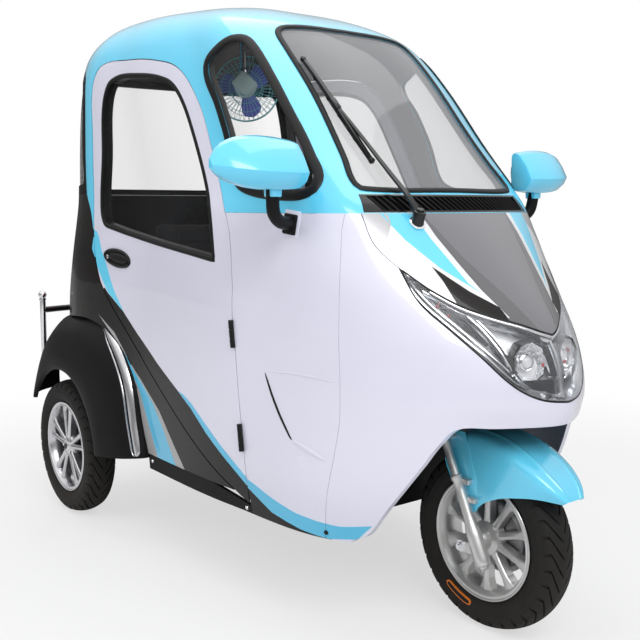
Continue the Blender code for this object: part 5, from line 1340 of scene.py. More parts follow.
# Round a section: share from rear to front, share from low to high
MIRROR_AROUND = (
    (0.00, 0.12), (0.00, 0.92), (0.06, 0.99), (0.20, 1.00), (0.40, 0.94), (0.72, 0.66),
    (1.00, 0.32), (0.86, 0.14), (0.62, 0.01), (0.32, 0.00), (0.08, 0.03),
)
MIRROR_ARM = ((0.550, 0.502, 1.190), (0.548, 0.502, 1.148), (0.541, 0.494, 1.110),
              (0.526, 0.465, 1.088), (0.512, 0.430, 1.083), (0.506, 0.398, 1.083))
for word, side in SIDES:
    rings = []
    for place, rear, ahead, low, high in between(MIRROR_SECTIONS, 3):
        rings.append([Vector((rear + (ahead - rear) * x, side * place,
                              low + (high - low) * z)) for x, z in MIRROR_AROUND])
    shell = smooth(bevelled(loft(rings), 0.0035, 3, 24), 30)
    collar = bevelled(loft([[Vector((0.549 + dx * w, side * (0.502 + dy * w), z))
                             for dx, dy in ((-1, -0.8), (1, -0.8), (1, 0.8), (-1, 0.8))]
                            for z, w in ((1.205, 0.0230), (1.176, 0.0200), (1.150, 0.0185))]),
                      0.003, 2)
    show(joined([shell, smooth(collar, 40)]),
         "mirror_shell_" + word, "sky", "chassis", "mirror_" + word)
    glass = [[Vector((0.5128 - 0.0015, side * p.x, p.y))
              for p in smooth_loop(((0.446, 1.200, 0), (0.450, 1.272, 0), (0.520, 1.286, 0),
                                    (0.590, 1.282, 0), (0.628, 1.262, 0), (0.634, 1.232, 0),
                                    (0.590, 1.202, 0), (0.520, 1.188, 0)), 5)]]
    glass.append([p + Vector((0.004, 0, 0)) for p in glass[0]])
    show(smooth(loft(glass), 30), "mirror_glass_" + word, "chrome", "chassis")
    arm = bent([(x, side * y, z) for x, y, z in MIRROR_ARM], 0.0172, 20, 6)
    foot, normal = on_body(0.505, 1.083, side)
    turn = Vector((0, 0, 1)).rotation_difference(normal).to_matrix().to_4x4()
    plate = bevelled(block((-0.023, -0.030, -0.004), (0.023, 0.024, 0.011)), 0.004, 3)
    plate.data.transform(Matrix.Translation(foot) @ turn)
    show(smooth(joined([arm, plate]), 45), "mirror_arm_" + word,
         "black", "chassis")
    pad = bevelled(block((-0.028, -0.036, -0.006), (0.030, 0.034, 0.0035)), 0.003, 2)
    pad.data.transform(Matrix.Translation(foot) @ turn)
    show(smooth(pad, 40), "mirror_pad_" + word, "white", "chassis")
    screw = turned([(0.0, 0.0105), (0.0035, 0.0100), (0.0058, 0.0075), (0.0058, 0.004),
                    (0.0, 0.004)], 20, foot + normal * 0.001 + Vector((0.004, 0, 0.004)),
                   normal)
    show(smooth(screw, 40), "mirror_screw_" + word, "chrome", "chassis")

# Door hinges and handles
HINGE_LOW = Vector((0.3195, 0.4580, 0.480))
HINGE_HIGH = Vector((0.2930, 0.4660, 0.7725))
KNUCKLE_PITCH = 0.0262
KNUCKLE_HALF = 0.0127
KNUCKLE_RADIUS = 0.0072
for word, side in SIDES:
    ends = [Vector((p.x, side * p.y, p.z)) for p in (HINGE_LOW, HINGE_HIGH)]
    along = (ends[1] - ends[0]).normalized()
    fixed, moving = [], []
    for centre in ends:
        for number, pieces in ((-1, fixed), (0, moving), (1, fixed)):
            middle = centre + along * KNUCKLE_PITCH * number
            pieces.append(bevelled(rod(middle - along * KNUCKLE_HALF,
                                       middle + along * KNUCKLE_HALF, KNUCKLE_RADIUS, 24),
                                   0.0010, 2))
    show(smooth(joined(fixed), 40), "hinges_" + word, "seal", "chassis")
    show(smooth(joined(moving), 40), "hinge_pins_" + word, "seal",
         "door_leaf_" + word)


def oval_on_body(name, look, body, side, centre, size, layers, nodes=(), point=0.0):
    """Rounded layers on the door: (growth, lift) rings of an oval, sharper to the rear."""
    rings = []
    for growth, lift in layers:
        ring = []
        for k in range(40):
            a = math.tau * k / 40
            wide = size[1] * (1 - point * 0.5 * (1 - math.cos(a)))
            x = centre[0] + (size[0] + growth) * math.cos(a)
            z = centre[1] + (wide + growth) * math.sin(a) - 0.12 * (x - centre[0])
            place, normal = on_body(x, z, side)
            ring.append(place + normal * lift)
        rings.append(ring)
    return show(smooth(loft(rings), 40), name, look, body, *nodes)


for word, side in SIDES:
    leaf = "door_leaf_" + word
    oval_on_body("handle_rim_" + word, "seal", leaf, side, (-0.418, 0.952), (0.082, 0.031),
                 ((0.000, -0.003), (0.000, 0.003), (-0.0025, 0.0065), (-0.005, 0.0075),
                  (-0.008, 0.0060), (-0.010, 0.0015)), ["door_handle_" + word])
    oval_on_body("handle_lever_" + word, "seal", leaf, side, (-0.404, 0.952),
                 (0.054, 0.0150), ((0.004, 0.000), (0.003, 0.006), (0.000, 0.0095),
                                   (-0.004, 0.0105)), point=0.35)
    oval_on_body("handle_lock_" + word, "chrome", leaf, side, (-0.472, 0.955),
                 (0.007, 0.007), ((0.000, 0.000), (0.000, 0.0075), (-0.0015, 0.0088)))

# Scoop on the side panel, with its slot drawn as a black strip of painted shade where the opening
# lies in shadow
SCOOP_SLOT = ((0.424, 0.680), (0.436, 0.655), (0.458, 0.612), (0.487, 0.566), (0.520, 0.524),
              (0.532, 0.513))
SCOOP_LINES = (((0.429, 0.684), (0.520, 0.690), (0.600, 0.690), (0.690, 0.685)),
               ((0.534, 0.511), (0.563, 0.505), (0.610, 0.492), (0.655, 0.478)))


def line_on_body(name, look, body, side, line, width, height, lift=0.0):
    """A strip along a side line, thin at both ends."""
    rows = [Vector(p[:2]) for p in between(line, 6)]
    spots = [on_body(p.x, p.y, side) for p in rows]
    last = len(rows) - 1
    scales = [max(0.12, math.sin(math.pi * k / last) ** 0.5) for k in range(last + 1)]
    item = sweep(name, [p + n * lift for p, n in spots], [n for p, n in spots],
                 oval(width, height), scales=scales)
    return show(item, name, look, body)


for word, side in SIDES:
    # The slot's black strip is painted shade, standing in for the dark opening of the scoop.
    line_on_body("scoop_slot_painted_shade_" + word, "seal", "chassis", side, SCOOP_SLOT, 0.0085, 0.0022)
    line_on_body("scoop_top_" + word, "white", "chassis", side, SCOOP_LINES[0], 0.0060, 0.0016)
    line_on_body("scoop_foot_" + word, "white", "chassis", side, SCOOP_LINES[1], 0.0130,
                 0.0034)

# Screws
SCREWS = ((0.630, 0.279, "chassis", "seal"), (0.318, 0.272, "chassis", "chrome"),
          (-0.225, 0.290, "chassis", "chrome"))
for word, side in SIDES:
    for number, (x, z, body, look) in enumerate(SCREWS):
        place, normal = on_body(x, z, side)
        screw = turned([(0.0, 0.0028), (0.0035, 0.0032), (0.0060, 0.0022), (0.0068, 0.0),
                        (0.0068, -0.003), (0.0, -0.003)], 24, place + normal * 0.0005, normal)
        show(smooth(screw, 40), "screw_%s_%d" % (word, number), look, body)


# Cowl louvres: slanted blades in a frame
LOUVRE_COUNT = 29
LOUVRE_FIRST = -0.262
LOUVRE_GAP = 0.0189
COWL_MOUTH = ((-0.284, 1.1535), (0.286, 1.1535), (0.286, 1.1155), (-0.262, 1.1155))
panel("cowl_base", "seal", "chassis", ["cowl_grille"], [front_prism(COWL, grow=-0.0006)],
      wall=0.004, inset=0.008)
panel("cowl_frame", "gloss_black", "chassis", [], [front_prism(COWL, grow=-0.0006)],
      [prism("zone", COWL_MOUTH, "X", 0.0, 1.5)], wall=0.008)
blades = []
for k in range(LOUVRE_COUNT):
    y = LOUVRE_FIRST + k * LOUVRE_GAP
    spots = [on_body(y + lean, z) for lean, z in ((-0.010, 1.1535), (0.0, 1.135), (0.010, 1.1155))]
    blades.append(sweep("blade", [p - n * 0.0035 for p, n in spots], [n for p, n in spots],
                        [(-0.0052, -0.002), (0.0052, -0.005), (0.0052, -0.002),
                         (-0.0040, 0.0042), (-0.0052, 0.0040)]))
show(smooth(joined(blades), 30), "cowl_blades", "gloss_black", "chassis")


# Wiper
WIPER_FOOT = (-0.191, 1.083)
WIPER_ARM = ((-0.190, 1.098, 0.026), (-0.193, 1.150, 0.030), (-0.203, 1.235, 0.026),
             (-0.217, 1.325, 0.022), (-0.2316, 1.392, 0.019))
WIPER_BLADE = ((-0.214, 1.240), (-0.2232, 1.316), (-0.2316, 1.392), (-0.238, 1.463),
               (-0.243, 1.530))


def along_body(line, lift, steps=6):
    """Places and normals along a front-view line, lifted off the surface."""
    spots = [(on_body(row[0], row[1]), row[2] if len(row) > 2 else 0.0)
             for row in between(line, steps)]
    return ([p + n * (lift + extra) for (p, n), extra in spots], [n for (p, n), extra in spots])


places, ups = along_body(WIPER_ARM, 0.0)
count = len(places) - 1
arm = sweep("arm", places, ups,
            [(-0.0125, -0.003), (-0.0095, 0.0035), (0.0, 0.0050), (0.0095, 0.0035),
             (0.0125, -0.003), (0.0, -0.0045)],
            scales=[0.85 - 0.45 * (k / count) ** 0.8 for k in range(count + 1)])
places, ups = along_body(WIPER_BLADE, 0.0)
squeegee = sweep("squeegee", [p + n * 0.0035 for p, n in zip(places, ups)], ups,
                 [(-0.0010, -0.0034), (-0.0030, 0.0010), (-0.0045, 0.0060), (0.0045, 0.0060),
                  (0.0030, 0.0010), (0.0010, -0.0034)])
last = len(places) - 1
bridge = sweep("bridge", [p + n * (0.0125 + 0.0055 * math.sin(math.pi * k / last))
                          for k, (p, n) in enumerate(zip(places, ups))], ups,
               [(-0.0055, -0.0018), (-0.0040, 0.0022), (0.0040, 0.0022), (0.0055, -0.0018)],
               scales=[0.95 + 0.45 * math.sin(math.pi * k / last) for k in range(last + 1)])
clips = []
for share in (0.01, 0.22, 0.42, 0.58, 0.78, 0.985):
    k = round(share * last)
    along = (places[min(k + 1, last)] - places[max(k - 1, 0)]).normalized()
    clips.append(bevelled(sweep("clip", [places[k] - along * 0.006, places[k] + along * 0.006],
                                [ups[k]] * 2, [(-0.0062, 0.0040), (-0.0062, 0.0170),
                                               (0.0062, 0.0170), (0.0062, 0.0040)]), 0.0012))
middle = len(places) // 2
along = (places[middle + 1] - places[middle - 1]).normalized()
clips.append(bevelled(sweep("joint", [places[middle] - along * 0.020,
                                      places[middle] + along * 0.020],
                            [ups[middle]] * 2, [(-0.0085, 0.012), (-0.0085, 0.024),
                                                (0.0085, 0.024), (0.0085, 0.012)]), 0.0025))
foot, normal = on_body(*WIPER_FOOT)
upright = Vector((0.40, -0.06, 0.91)).normalized()
clips.append(bevelled(rod(foot - upright * 0.010, foot + upright * 0.034, 0.0165, 32), 0.002, 2))
clips.append(bevelled(rod(foot + upright * 0.030, foot + upright * 0.041, 0.0125, 32, 0.0095),
                      0.0015, 2))
show(smooth(joined([arm, squeegee, bridge, *clips]), 40), "wiper_arm",
     "gloss_black", "chassis", "wiper")
ring = turned([(0.0168, 0.0), (0.0215, 0.0), (0.0222, 0.002), (0.0215, 0.005), (0.0168, 0.006)],
              48, foot + normal * 0.0005, normal)
show(smooth(ring, 40), "wiper_ring", "chrome", "chassis")


# Headlamp behind its lens
def in_lamp(y, z, depth):
    """A point this deep behind the lens."""
    place, normal = on_body(y, z)
    return place - normal * depth


lamp_edge = [Vector((p.x, p.y)) for p in spaced(both_halves(LENS), 0.008)]
lamp_middle = Vector((0.0, 0.760))
rings = []
for depth, inward in ((0.0035, 0.0025), (0.020, 0.0045), (0.040, 0.0080), (0.047, 0.0140)):
    ring = []
    for p in lamp_edge:
        q = p + (Vector((p.x * 0.55, lamp_middle.y)) - p).normalized() * inward
        ring.append(in_lamp(q.x, q.y, depth))
    rings.append(ring)
show(smooth(thickened(loft(rings, caps=False), 0.0008, even=False), 40), "lamp_wall",
     "silver_plate", "chassis")
panel("lamp_tray", "lamp_dark", "chassis", ["headlamp_reflector"],
      [front_prism(LENS, grow=-0.0006)], [hood_gap], wall=0.002, inset=0.048)
# Ribs: height and half width, then distance from the middle, height and depth of the crest
LAMP_RIBS = (
    (0.012, 0.0045, ((0.280, 0.968, 0.020), (0.262, 0.900, 0.016), (0.222, 0.835, 0.014),
                     (0.183, 0.778, 0.012), (0.132, 0.712, 0.012), (0.100, 0.690, 0.014))),
    (0.010, 0.0040, ((0.268, 0.962, 0.022), (0.248, 0.902, 0.022), (0.210, 0.842, 0.020),
                     (0.172, 0.785, 0.018), (0.125, 0.722, 0.016))),
    (0.014, 0.0045, ((0.182, 0.868, 0.012), (0.164, 0.836, 0.010), (0.144, 0.785, 0.010),
                     (0.122, 0.722, 0.012), (0.094, 0.690, 0.014))),
    (0.012, 0.0035, ((0.168, 0.864, 0.014), (0.150, 0.833, 0.014), (0.132, 0.785, 0.014),
                     (0.114, 0.728, 0.016))),
    (0.010, 0.0050, ((0.250, 0.925, 0.010), (0.200, 0.878, 0.010), (0.140, 0.852, 0.010),
                     (0.078, 0.832, 0.010), (0.006, 0.806, 0.010))),
)
# Facets between the ribs: how many, depths of valley and crest, then both edges as
# (distance from the middle, height)
LAMP_FANS = (
    (9, 0.034, 0.018, ((0.262, 0.950), (0.238, 0.900), (0.205, 0.845), (0.170, 0.795)),
     ((0.236, 0.918), (0.205, 0.884), (0.180, 0.845), (0.160, 0.800))),
    (8, 0.036, 0.022, ((0.162, 0.790), (0.140, 0.745), (0.118, 0.722)),
     ((0.150, 0.835), (0.128, 0.790), (0.112, 0.745))),
    (9, 0.030, 0.018, ((0.094, 0.690), (0.060, 0.680), (0.014, 0.668)),
     ((0.100, 0.712), (0.066, 0.712), (0.016, 0.712))),
    (8, 0.034, 0.020, ((0.036, 0.800), (0.036, 0.760), (0.034, 0.720)),
     ((0.008, 0.796), (0.008, 0.756), (0.008, 0.716))),
)
PROJECTOR = (0.084, 0.760)
for word, side in SIDES:
    ribs = []
    for height, half, line in LAMP_RIBS:
        rows = between(line, 5)
        places = [in_lamp(side * y, z, depth) for y, z, depth in rows]
        ups = [on_body(side * y, z)[1] for y, z, depth in rows]
        ribs.append(sweep("rib", places, ups, [(-half, -height), (-half * 0.35, -0.001),
                                               (half * 0.35, -0.001), (half, -height)]))
    for count, low, high, left, right in LAMP_FANS:
        edges = [between(left, 4), between(right, 4)]
        rings = []
        for (y1, z1), (y2, z2) in zip(*edges):
            rings.append([in_lamp(side * (y1 + (y2 - y1) * k / (2 * count)),
                                  z1 + (z2 - z1) * k / (2 * count), high if k % 2 else low)
                          for k in range(2 * count + 1)])
        ribs.append(thickened(loft(rings, closed=False, caps=False), 0.0008, even=False))
    show(smooth(joined(ribs), 22), "lamp_ribs_" + word, "silver_plate",
         "chassis")
    spot, normal = on_body(side * PROJECTOR[0], PROJECTOR[1])
    way = (normal * 0.45 + Vector((0.9, side * 0.10, -0.05))).normalized()
    centre = spot - normal * 0.040
    bowl = turned([(0.0500, 0.022), (0.0475, 0.018), (0.0410, 0.004), (0.0300, -0.008),
                   (0.0180, -0.011), (0.0180, -0.015), (0.0320, -0.014), (0.0450, 0.000),
                   (0.0520, 0.020)], 18, centre, way)
    show(smooth(bowl, 10), "lamp_bowl_" + word, "facet", "chassis")
    shroud = turned([(0.0540, 0.023), (0.0520, 0.0265), (0.0500, 0.0235), (0.0510, -0.002),
                     (0.0560, -0.006), (0.0620, 0.008)], 9, centre, way)
    show(smooth(shroud, 15), "lamp_shroud_" + word, "gloss_black", "chassis")
    holder = turned([(0.0165, -0.010), (0.0205, -0.008), (0.0215, 0.010), (0.0175, 0.013),
                     (0.0160, 0.010)], 40, centre, way)
    show(smooth(holder, 30), "lamp_holder_" + word, "chrome", "chassis")
    eye = turned([(0.0, -0.004), (0.0158, -0.002), (0.0160, 0.008), (0.0120, 0.0135),
                  (0.0065, 0.0165), (0.0, 0.0175)], 40, centre, way)
    show(smooth(eye, 40), "lamp_eye_" + word, "stripe_white", "chassis")
    marks = []
    for y, z, size in ((0.118, 0.768, 0.0075), (0.048, 0.748, 0.0055), (0.232, 0.890, 0.0050),
                       (0.218, 0.868, 0.0045)):
        marks.append(dome(in_lamp(side * y, z, 0.020), (size * 0.6, size, size), 14, 8))
    show(smooth(joined(marks), 60), "lamp_marks_" + word, "red",
         "chassis")
    box = [in_lamp(side * y, z, depth) for depth in (0.034, 0.011)
           for y, z in ((0.247, 0.918), (0.190, 0.868), (0.202, 0.826), (0.238, 0.872))]
    show(bevelled(loft([box[:4], box[4:]]), 0.0015), "lamp_signal_" + word, "lens", "chassis")
show(sweep("lamp_column", [in_lamp(0.0, z, 0.016) for z in (0.806, 0.77, 0.73, 0.69, 0.662)],
           [on_body(0.0, z)[1] for z in (0.806, 0.77, 0.73, 0.69, 0.662)],
           [(-0.010, -0.030), (-0.004, 0.002), (0.004, 0.002), (0.010, -0.030)]),
     "lamp_column", "silver_plate", "chassis")
lip = [Vector((-p.x, p.y)) for p in smooth_loop([(y, z - 0.0065, c) for y, z, c in HOOD[4:-1]],
                                               6, closed=False)]
lip += [Vector((0, HOOD[-1][1] - 0.0065))] + [Vector((-p.x, p.y)) for p in reversed(lip)]
spots = [on_body(p.x, p.y) for p in spaced(lip, 0.010, closed=False)]
show(sweep("lamp_lip", [p - n * 0.0045 for p, n in spots], [n for p, n in spots],
           oval(0.0080, 0.0040)), "lamp_lip", "chrome", "chassis")
seal("lamp_seal", "seal", "chassis", both_halves(LENS), None, 0.0040, 0.0012)


# Rear bumper
BUMPER_BOW = ((-1.067, -0.480), (-1.087, -0.390), (-1.098, -0.280), (-1.106, -0.140),
              (-1.108, 0.0))
BUMPER_FOOT = ((-1.067, 0.480, 0.520), (-1.0665, 0.460, 0.504), (-1.062, 0.420, 0.500),
               (-1.046, 0.372, 0.500), (-1.020, 0.352, 0.500), (-0.985, 0.350, 0.500))
bow = [Vector((x, y, 0.720)) for x, y in BUMPER_BOW]
bow += [Vector((p.x, -p.y, p.z)) for p in bow[-2::-1]]
show(bent(bow, 0.0118, 20, 6), "bumper_bow", "gloss_black", "chassis", "rear_bumper")
posts, stays = [], []
for side in (-1, 1):
    post = Vector((-1.067, side * 0.480, 0))
    posts.append(smooth(turned([(0.0, 0.498), (0.0070, 0.498), (0.0112, 0.503), (0.0112, 0.757),
                                (0.0135, 0.759), (0.0135, 0.765), (0.0105, 0.767), (0.0, 0.767)],
                               40, post, (0, 0, 1)), 40))
    posts.append(smooth(dome(post + Vector((0, 0, 0.780)), (0.0158, 0.0158, 0.0155), 32, 20), 60))
    posts.append(bent([Vector((x, side * y, z)) for x, y, z in BUMPER_FOOT], 0.0098, 18, 5))
    stays.append(smooth(rod((-1.098, side * 0.250, 0.720), (-1.004, side * 0.250, 0.720),
                            0.0098, 24), 40))
    stays.append(smooth(rod((-1.012, side * 0.250, 0.720), (-1.006, side * 0.250, 0.720),
                            0.0200, 28), 30))
show(joined(posts), "bumper_posts", "chrome", "chassis")
show(joined(stays), "bumper_stays", "gloss_black", "chassis")


# Ceiling fan; its teal and label finishes are brightened as painted light for the dim cabin
FAN_CENTRE = Vector((-0.070, -0.170, 1.500))
FAN_AXIS = Vector((-0.76, 0.64, -0.10)).normalized()
FAN_RADIUS = 0.104
fan_turn = (Matrix.Translation(FAN_CENTRE)
            @ Vector((0, 0, 1)).rotation_difference(FAN_AXIS).to_matrix().to_4x4())


def at_fan(item):
    item.data.transform(fan_turn)
    return item


cage = []
for radius, along, wire in ((FAN_RADIUS, 0.0, 0.0022), (FAN_RADIUS - 0.001, -0.005, 0.0014),
                            (0.078, -0.0215, 0.0009), (0.052, -0.0262, 0.0009),
                            (0.082, 0.0240, 0.0009), (0.050, 0.0300, 0.0012),
                            (0.022, 0.0310, 0.0014)):
    cage.append(at_fan(turned([(radius + wire * math.cos(k * math.tau / 8),
                                along + wire * math.sin(k * math.tau / 8))
                               for k in range(8)], 56, axis=(0, 0, 1))))
for k in range(40):
    a = k * math.tau / 40
    for path in (((0.030, -0.0275), (0.060, -0.0255), (0.085, -0.0190), (0.098, -0.0110),
                  (0.1036, -0.0010)),
                 ((0.022, 0.0310), (0.050, 0.0300), (0.080, 0.0245), (0.097, 0.0140),
                  (0.1036, 0.0010))):
        cage.append(at_fan(bent([(r * math.cos(a), r * math.sin(a), z) for r, z in path],
                                0.00085, 5, 2)))
hang = FAN_CENTRE - FAN_AXIS * 0.055
cage.append(at_fan(smooth(turned([(0.0, 0.0305), (0.020, 0.0300), (0.022, 0.0325),
                                  (0.018, 0.0350), (0.0, 0.0355)], 40, axis=(0, 0, 1)), 40)))
show(smooth(joined(cage), 50), "fan_guard", "teal", "chassis", "fan_cage")
motor = at_fan(smooth(turned([(0.0, -0.0800), (0.018, -0.0795), (0.027, -0.0750),
                              (0.0310, -0.0680), (0.0322, -0.0400), (0.0310, -0.0300),
                              (0.034, -0.0275), (0.034, -0.0225), (0.0, -0.0220)], 48,
                             axis=(0, 0, 1)), 35))
show(motor, "fan_motor", "label", "chassis")
case = bevelled(block((-0.026, -0.026, -0.108), (0.026, 0.040, -0.066)), 0.009, 4)
show(at_fan(smooth(case, 50)), "fan_case", "label", "chassis")
wire = [FAN_CENTRE + Vector(p) for p in ((0.048, -0.062, 0.018), (0.052, -0.056, 0.060),
                                         (0.045, -0.050, 0.120), (0.040, -0.046, 0.175))]
show(bent(wire, 0.0022, 10, 6), "fan_lead", "stripe_blue", "chassis")
bands = [at_fan(smooth(turned([(0.0320, low), (0.0330, low), (0.0330, low + 0.003),
                               (0.0320, low + 0.003)], 48, axis=(0, 0, 1)), 30))
         for low in (-0.064, -0.058, -0.052)]
show(joined(bands), "fan_bands", "teal", "chassis")
ceiling = guide_tree.ray_cast(Vector((hang.x, hang.y, 3.0)), Vector((0, 0, -1)))[0].z - 0.029
hanger = [smooth(rod((hang.x, hang.y, hang.z + 0.028), (hang.x, hang.y, ceiling), 0.0065, 24),
                 40),
          bevelled(rod((hang.x, hang.y, hang.z + 0.022), (hang.x, hang.y, hang.z + 0.052),
                       0.0115, 24), 0.002),
          bevelled(rod((hang.x, hang.y, ceiling - 0.040), (hang.x, hang.y, ceiling), 0.018, 28,
                       0.024), 0.002)]
show(smooth(joined(hanger), 40), "fan_hanger", "chrome", "chassis")
blades = [smooth(dome((0, 0, 0), (0.0185, 0.0185, 0.0120), 32, 16), 60)]
for k in range(3):
    rings = []
    for radius, chord, lean in ((0.012, 0.020, 38), (0.022, 0.034, 34), (0.040, 0.056, 29),
                                (0.060, 0.070, 25), (0.078, 0.070, 22), (0.088, 0.056, 20),
                                (0.092, 0.030, 19)):
        ring = []
        for j in range(9):
            w = (j / 8 - 0.5) * chord
            tilt = math.radians(lean)
            ring.append(Vector((radius - 0.006 * (w / chord * 2) ** 2, w * math.cos(tilt) + 0.006,
                                w * math.sin(tilt) * 0.62 + 0.003 * (1 - (w / chord * 2) ** 2))))
        rings.append(ring)
    leaf = thickened(loft(rings, closed=False, caps=False), 0.0016, 1)
    leaf.data.transform(Matrix.Rotation(k * math.tau / 3, 4, "Z"))
    blades.append(smooth(leaf, 50))
show(at_fan(joined(blades)), "fan_rotor_blades", "violet", "fan_rotor",
     "fan_blades")

# Bare orange mark on the front tyre's sidewall
MARK_RADIUS = 0.187
MARK_ANGLE = math.radians(247.5)


def sidewall_oval(half_length, half_width, low, high):
    """A rounded-end bar that follows the sidewall, from low to high off its middle plane."""
    rings = []
    for depth in (low, high):
        ring = []
        for k in range(48):
            a = math.tau * k / 48
            along = math.copysign(abs(math.cos(a)) ** 0.35, math.cos(a)) * half_length
            out = math.copysign(abs(math.sin(a)) ** 0.7, math.sin(a)) * half_width
            turn = MARK_ANGLE + along / MARK_RADIUS
            ring.append(FRONT_AXLE + Vector(((MARK_RADIUS + out) * math.cos(turn), -depth,
                                             (MARK_RADIUS + out) * math.sin(turn))))
        rings.append(ring)
    return loft(rings)


show(smooth(sidewall_oval(0.0480, 0.0092, 0.0470, 0.0524), 30), "tyre_mark", "orange",
     "front_wheel")
show(smooth(sidewall_oval(0.0440, 0.0060, 0.0500, 0.0528), 30), "tyre_mark_field", "seal",
     "front_wheel")


# Seat: low and high corners of each cushion before it leans back
SEAT_CUSHION = (Vector((-0.480, -0.240, 0.6003)), Vector((-0.020, 0.240, 0.6900)))
SEAT_BACK = (Vector((-0.565, -0.240, 0.6003)), Vector((-0.484, 0.240, 1.0900)))
SEAT_LEAN = math.radians(-8)
SWELL_FRAMES = 20
SWELL_LIMIT = 0.012
PAD_VOXEL = 0.006


def inflated(low, high):
    """A block of wadding swollen by cloth pressure, kept inside its solid."""
    inset = Vector((0.008, 0.008, 0.006))
    item = bevelled(block(low + inset, high - inset), 0.026, 4)
    fine = item.modifiers.new("even", "REMESH")
    fine.mode = "VOXEL"
    fine.voxel_size = PAD_VOXEL
    settle(item)
    start = [v.co.copy() for v in item.data.vertices]
    cloth = item.modifiers.new("cloth", "CLOTH")
    cloth.settings.quality = 3
    cloth.settings.mass = 0.3
    cloth.settings.tension_stiffness = 15
    cloth.settings.compression_stiffness = 15
    cloth.settings.shear_stiffness = 5
    cloth.settings.bending_stiffness = 0.5
    cloth.settings.use_pressure = True
    cloth.settings.uniform_pressure_force = 4.0
    cloth.settings.effector_weights.gravity = 0.0
    cloth.collision_settings.use_collision = False
    cloth.point_cache.frame_start = 1
    cloth.point_cache.frame_end = SWELL_FRAMES
    for step in range(1, SWELL_FRAMES + 1):
        bpy.context.scene.frame_set(step)
    settle(item)
    bpy.context.scene.frame_set(1)
    for v, place in zip(item.data.vertices, start):
        moved = v.co - place
        if moved.length > SWELL_LIMIT:
            moved = moved.normalized() * SWELL_LIMIT
        v.co = [min(max(place[k] + moved[k], low[k] + 0.001), high[k] - 0.001)
                for k in range(3)]
    soft = item.modifiers.new("soft", "SUBSURF")
    soft.levels = 1
    soft.render_levels = 1
    return settle(item)


def sewn(item, way, across, channels, low, high, depth=0.006, reach=0.007):
    """Press sewn channels into the face that looks along an axis."""
    facing = [v.normal[way] for v in item.data.vertices]
    for v, ahead in zip(item.data.vertices, facing):
        if ahead > 0.3:
            for line in channels:
                near = (v.co[across] - line) / reach
                v.co[way] -= depth * math.exp(-near * near)
            edge = min(v.co[1] - low.y, high.y - v.co[1])
            near = (edge - 0.075) / reach
            v.co[way] -= depth * 0.8 * math.exp(-near * near)
    return item


def round_seam(item, level, axis, radius, centre):
    """A piped seam round an item at one level of an axis."""
    tree = BVHTree.FromPolygons([v.co for v in item.data.vertices],
                                [list(f.vertices) for f in item.data.polygons])
    points = []
    for k in range(96):
        a = math.tau * k / 96
        way = Vector((math.cos(a), math.sin(a), 0)) if axis == 2 else Vector(
            (0, math.cos(a), math.sin(a)))
        start = centre.copy()
        start[axis] = level
        hit = tree.ray_cast(start + way * 0.9, -way)[0]
        if hit:
            points.append(hit - way * radius * 0.35)
    return bent(points, radius, 8, 2, closed=True)


for name, (low, high), lean, way, across, upper, lower, channels in (
        ("seat_cushion", SEAT_CUSHION, 0.0, 2, 0, 0.020, 0.018, (-0.175, -0.330)),
        ("seat_back", SEAT_BACK, SEAT_LEAN, 0, 2, 0.018, 0.016, (0.760, 0.880, 1.000))):
    pad = smooth(sewn(inflated(low, high), way, across, channels, low, high), 80)
    middle = (low + high) / 2
    seam = joined([round_seam(pad, high[way] - upper, way, 0.0034, middle),
                   round_seam(pad, low[way] + lower, way, 0.0030, middle)])
    if lean:
        foot = Matrix.Translation((low.x, 0, low.z))
        turn = foot @ Matrix.Rotation(lean, 4, "Y") @ foot.inverted()
        lowest = min((turn @ v.co).z for v in pad.data.vertices)
        turn = Matrix.Translation((0, 0, low.z + 0.001 - lowest)) @ turn
        pad.data.transform(turn)
        seam.data.transform(turn)
    show(pad, name + "_pad", "seat_fabric", "chassis", name)
    show(smooth(seam, 60), name + "_piping", "seal", "chassis")

# Handlebar
BAR_CENTRE = on_steer(0.940) + STEER_AXIS * 0.0155
HALF_BAR = ((-0.100, -0.270, 0.030), (-0.070, -0.170, 0.030), (-0.035, -0.115, 0.018),
            (0.000, -0.070, 0.000))
rake = Matrix.Rotation(-RAKE, 4, "Y")
half = [BAR_CENTRE + Vector(p) for p in HALF_BAR]
tube = bent(half + [BAR_CENTRE + Vector((x, -y, z)) for x, y, z in reversed(HALF_BAR)],
            0.0108, 18, 6)
show(tube, "handlebar_tube", "steel", "steering", "handlebar")
grips, levers = [], []
for side in (-1, 1):
    outer = BAR_CENTRE + Vector((HALF_BAR[0][0], side * -HALF_BAR[0][1], HALF_BAR[0][2]))
    inner = BAR_CENTRE + Vector((HALF_BAR[1][0], side * -HALF_BAR[1][1], HALF_BAR[1][2]))
    way = (outer - inner).normalized()
    ribs = [(0.0112, 0.004), (0.0158, 0.004)]
    for k in range(14):
        ribs += [(0.0162, 0.0055 + k * 0.0068), (0.0162, 0.0090 + k * 0.0068),
                 (0.0150, 0.0096 + k * 0.0068), (0.0150, 0.0116 + k * 0.0068)]
    ribs += [(0.0160, 0.1010), (0.0160, 0.1050), (0.0110, 0.1075), (0.0, 0.1075), (0.0, 0.004)]
    grips.append(smooth(turned(ribs, 28, inner, way), 40))
    pod = bevelled(block((-0.021, -0.016, -0.019), (0.021, 0.016, 0.019)), 0.005, 3)
    pod.data.transform(Matrix.Translation(inner - way * 0.014) @ rake)
    grips.append(smooth(pod, 45))
    start = inner - way * 0.010 + Vector((0.022, 0, 0.004))
    levers.append(bent([start, start + way * 0.020 + Vector((0.020, 0, 0.002)),
                        start + way * 0.060 + Vector((0.022, 0, -0.002)),
                        start + way * 0.100 + Vector((0.014, 0, -0.006))], 0.0048, 12, 5))
show(joined(grips), "handlebar_grips", "seal", "steering")
show(joined(levers), "brake_levers", "alloy", "steering")
pod = bevelled(block((-0.025, -0.055, -0.015), (0.025, 0.055, 0.015)), 0.008, 4)
pod.data.transform(Matrix.Translation(BAR_CENTRE) @ rake)
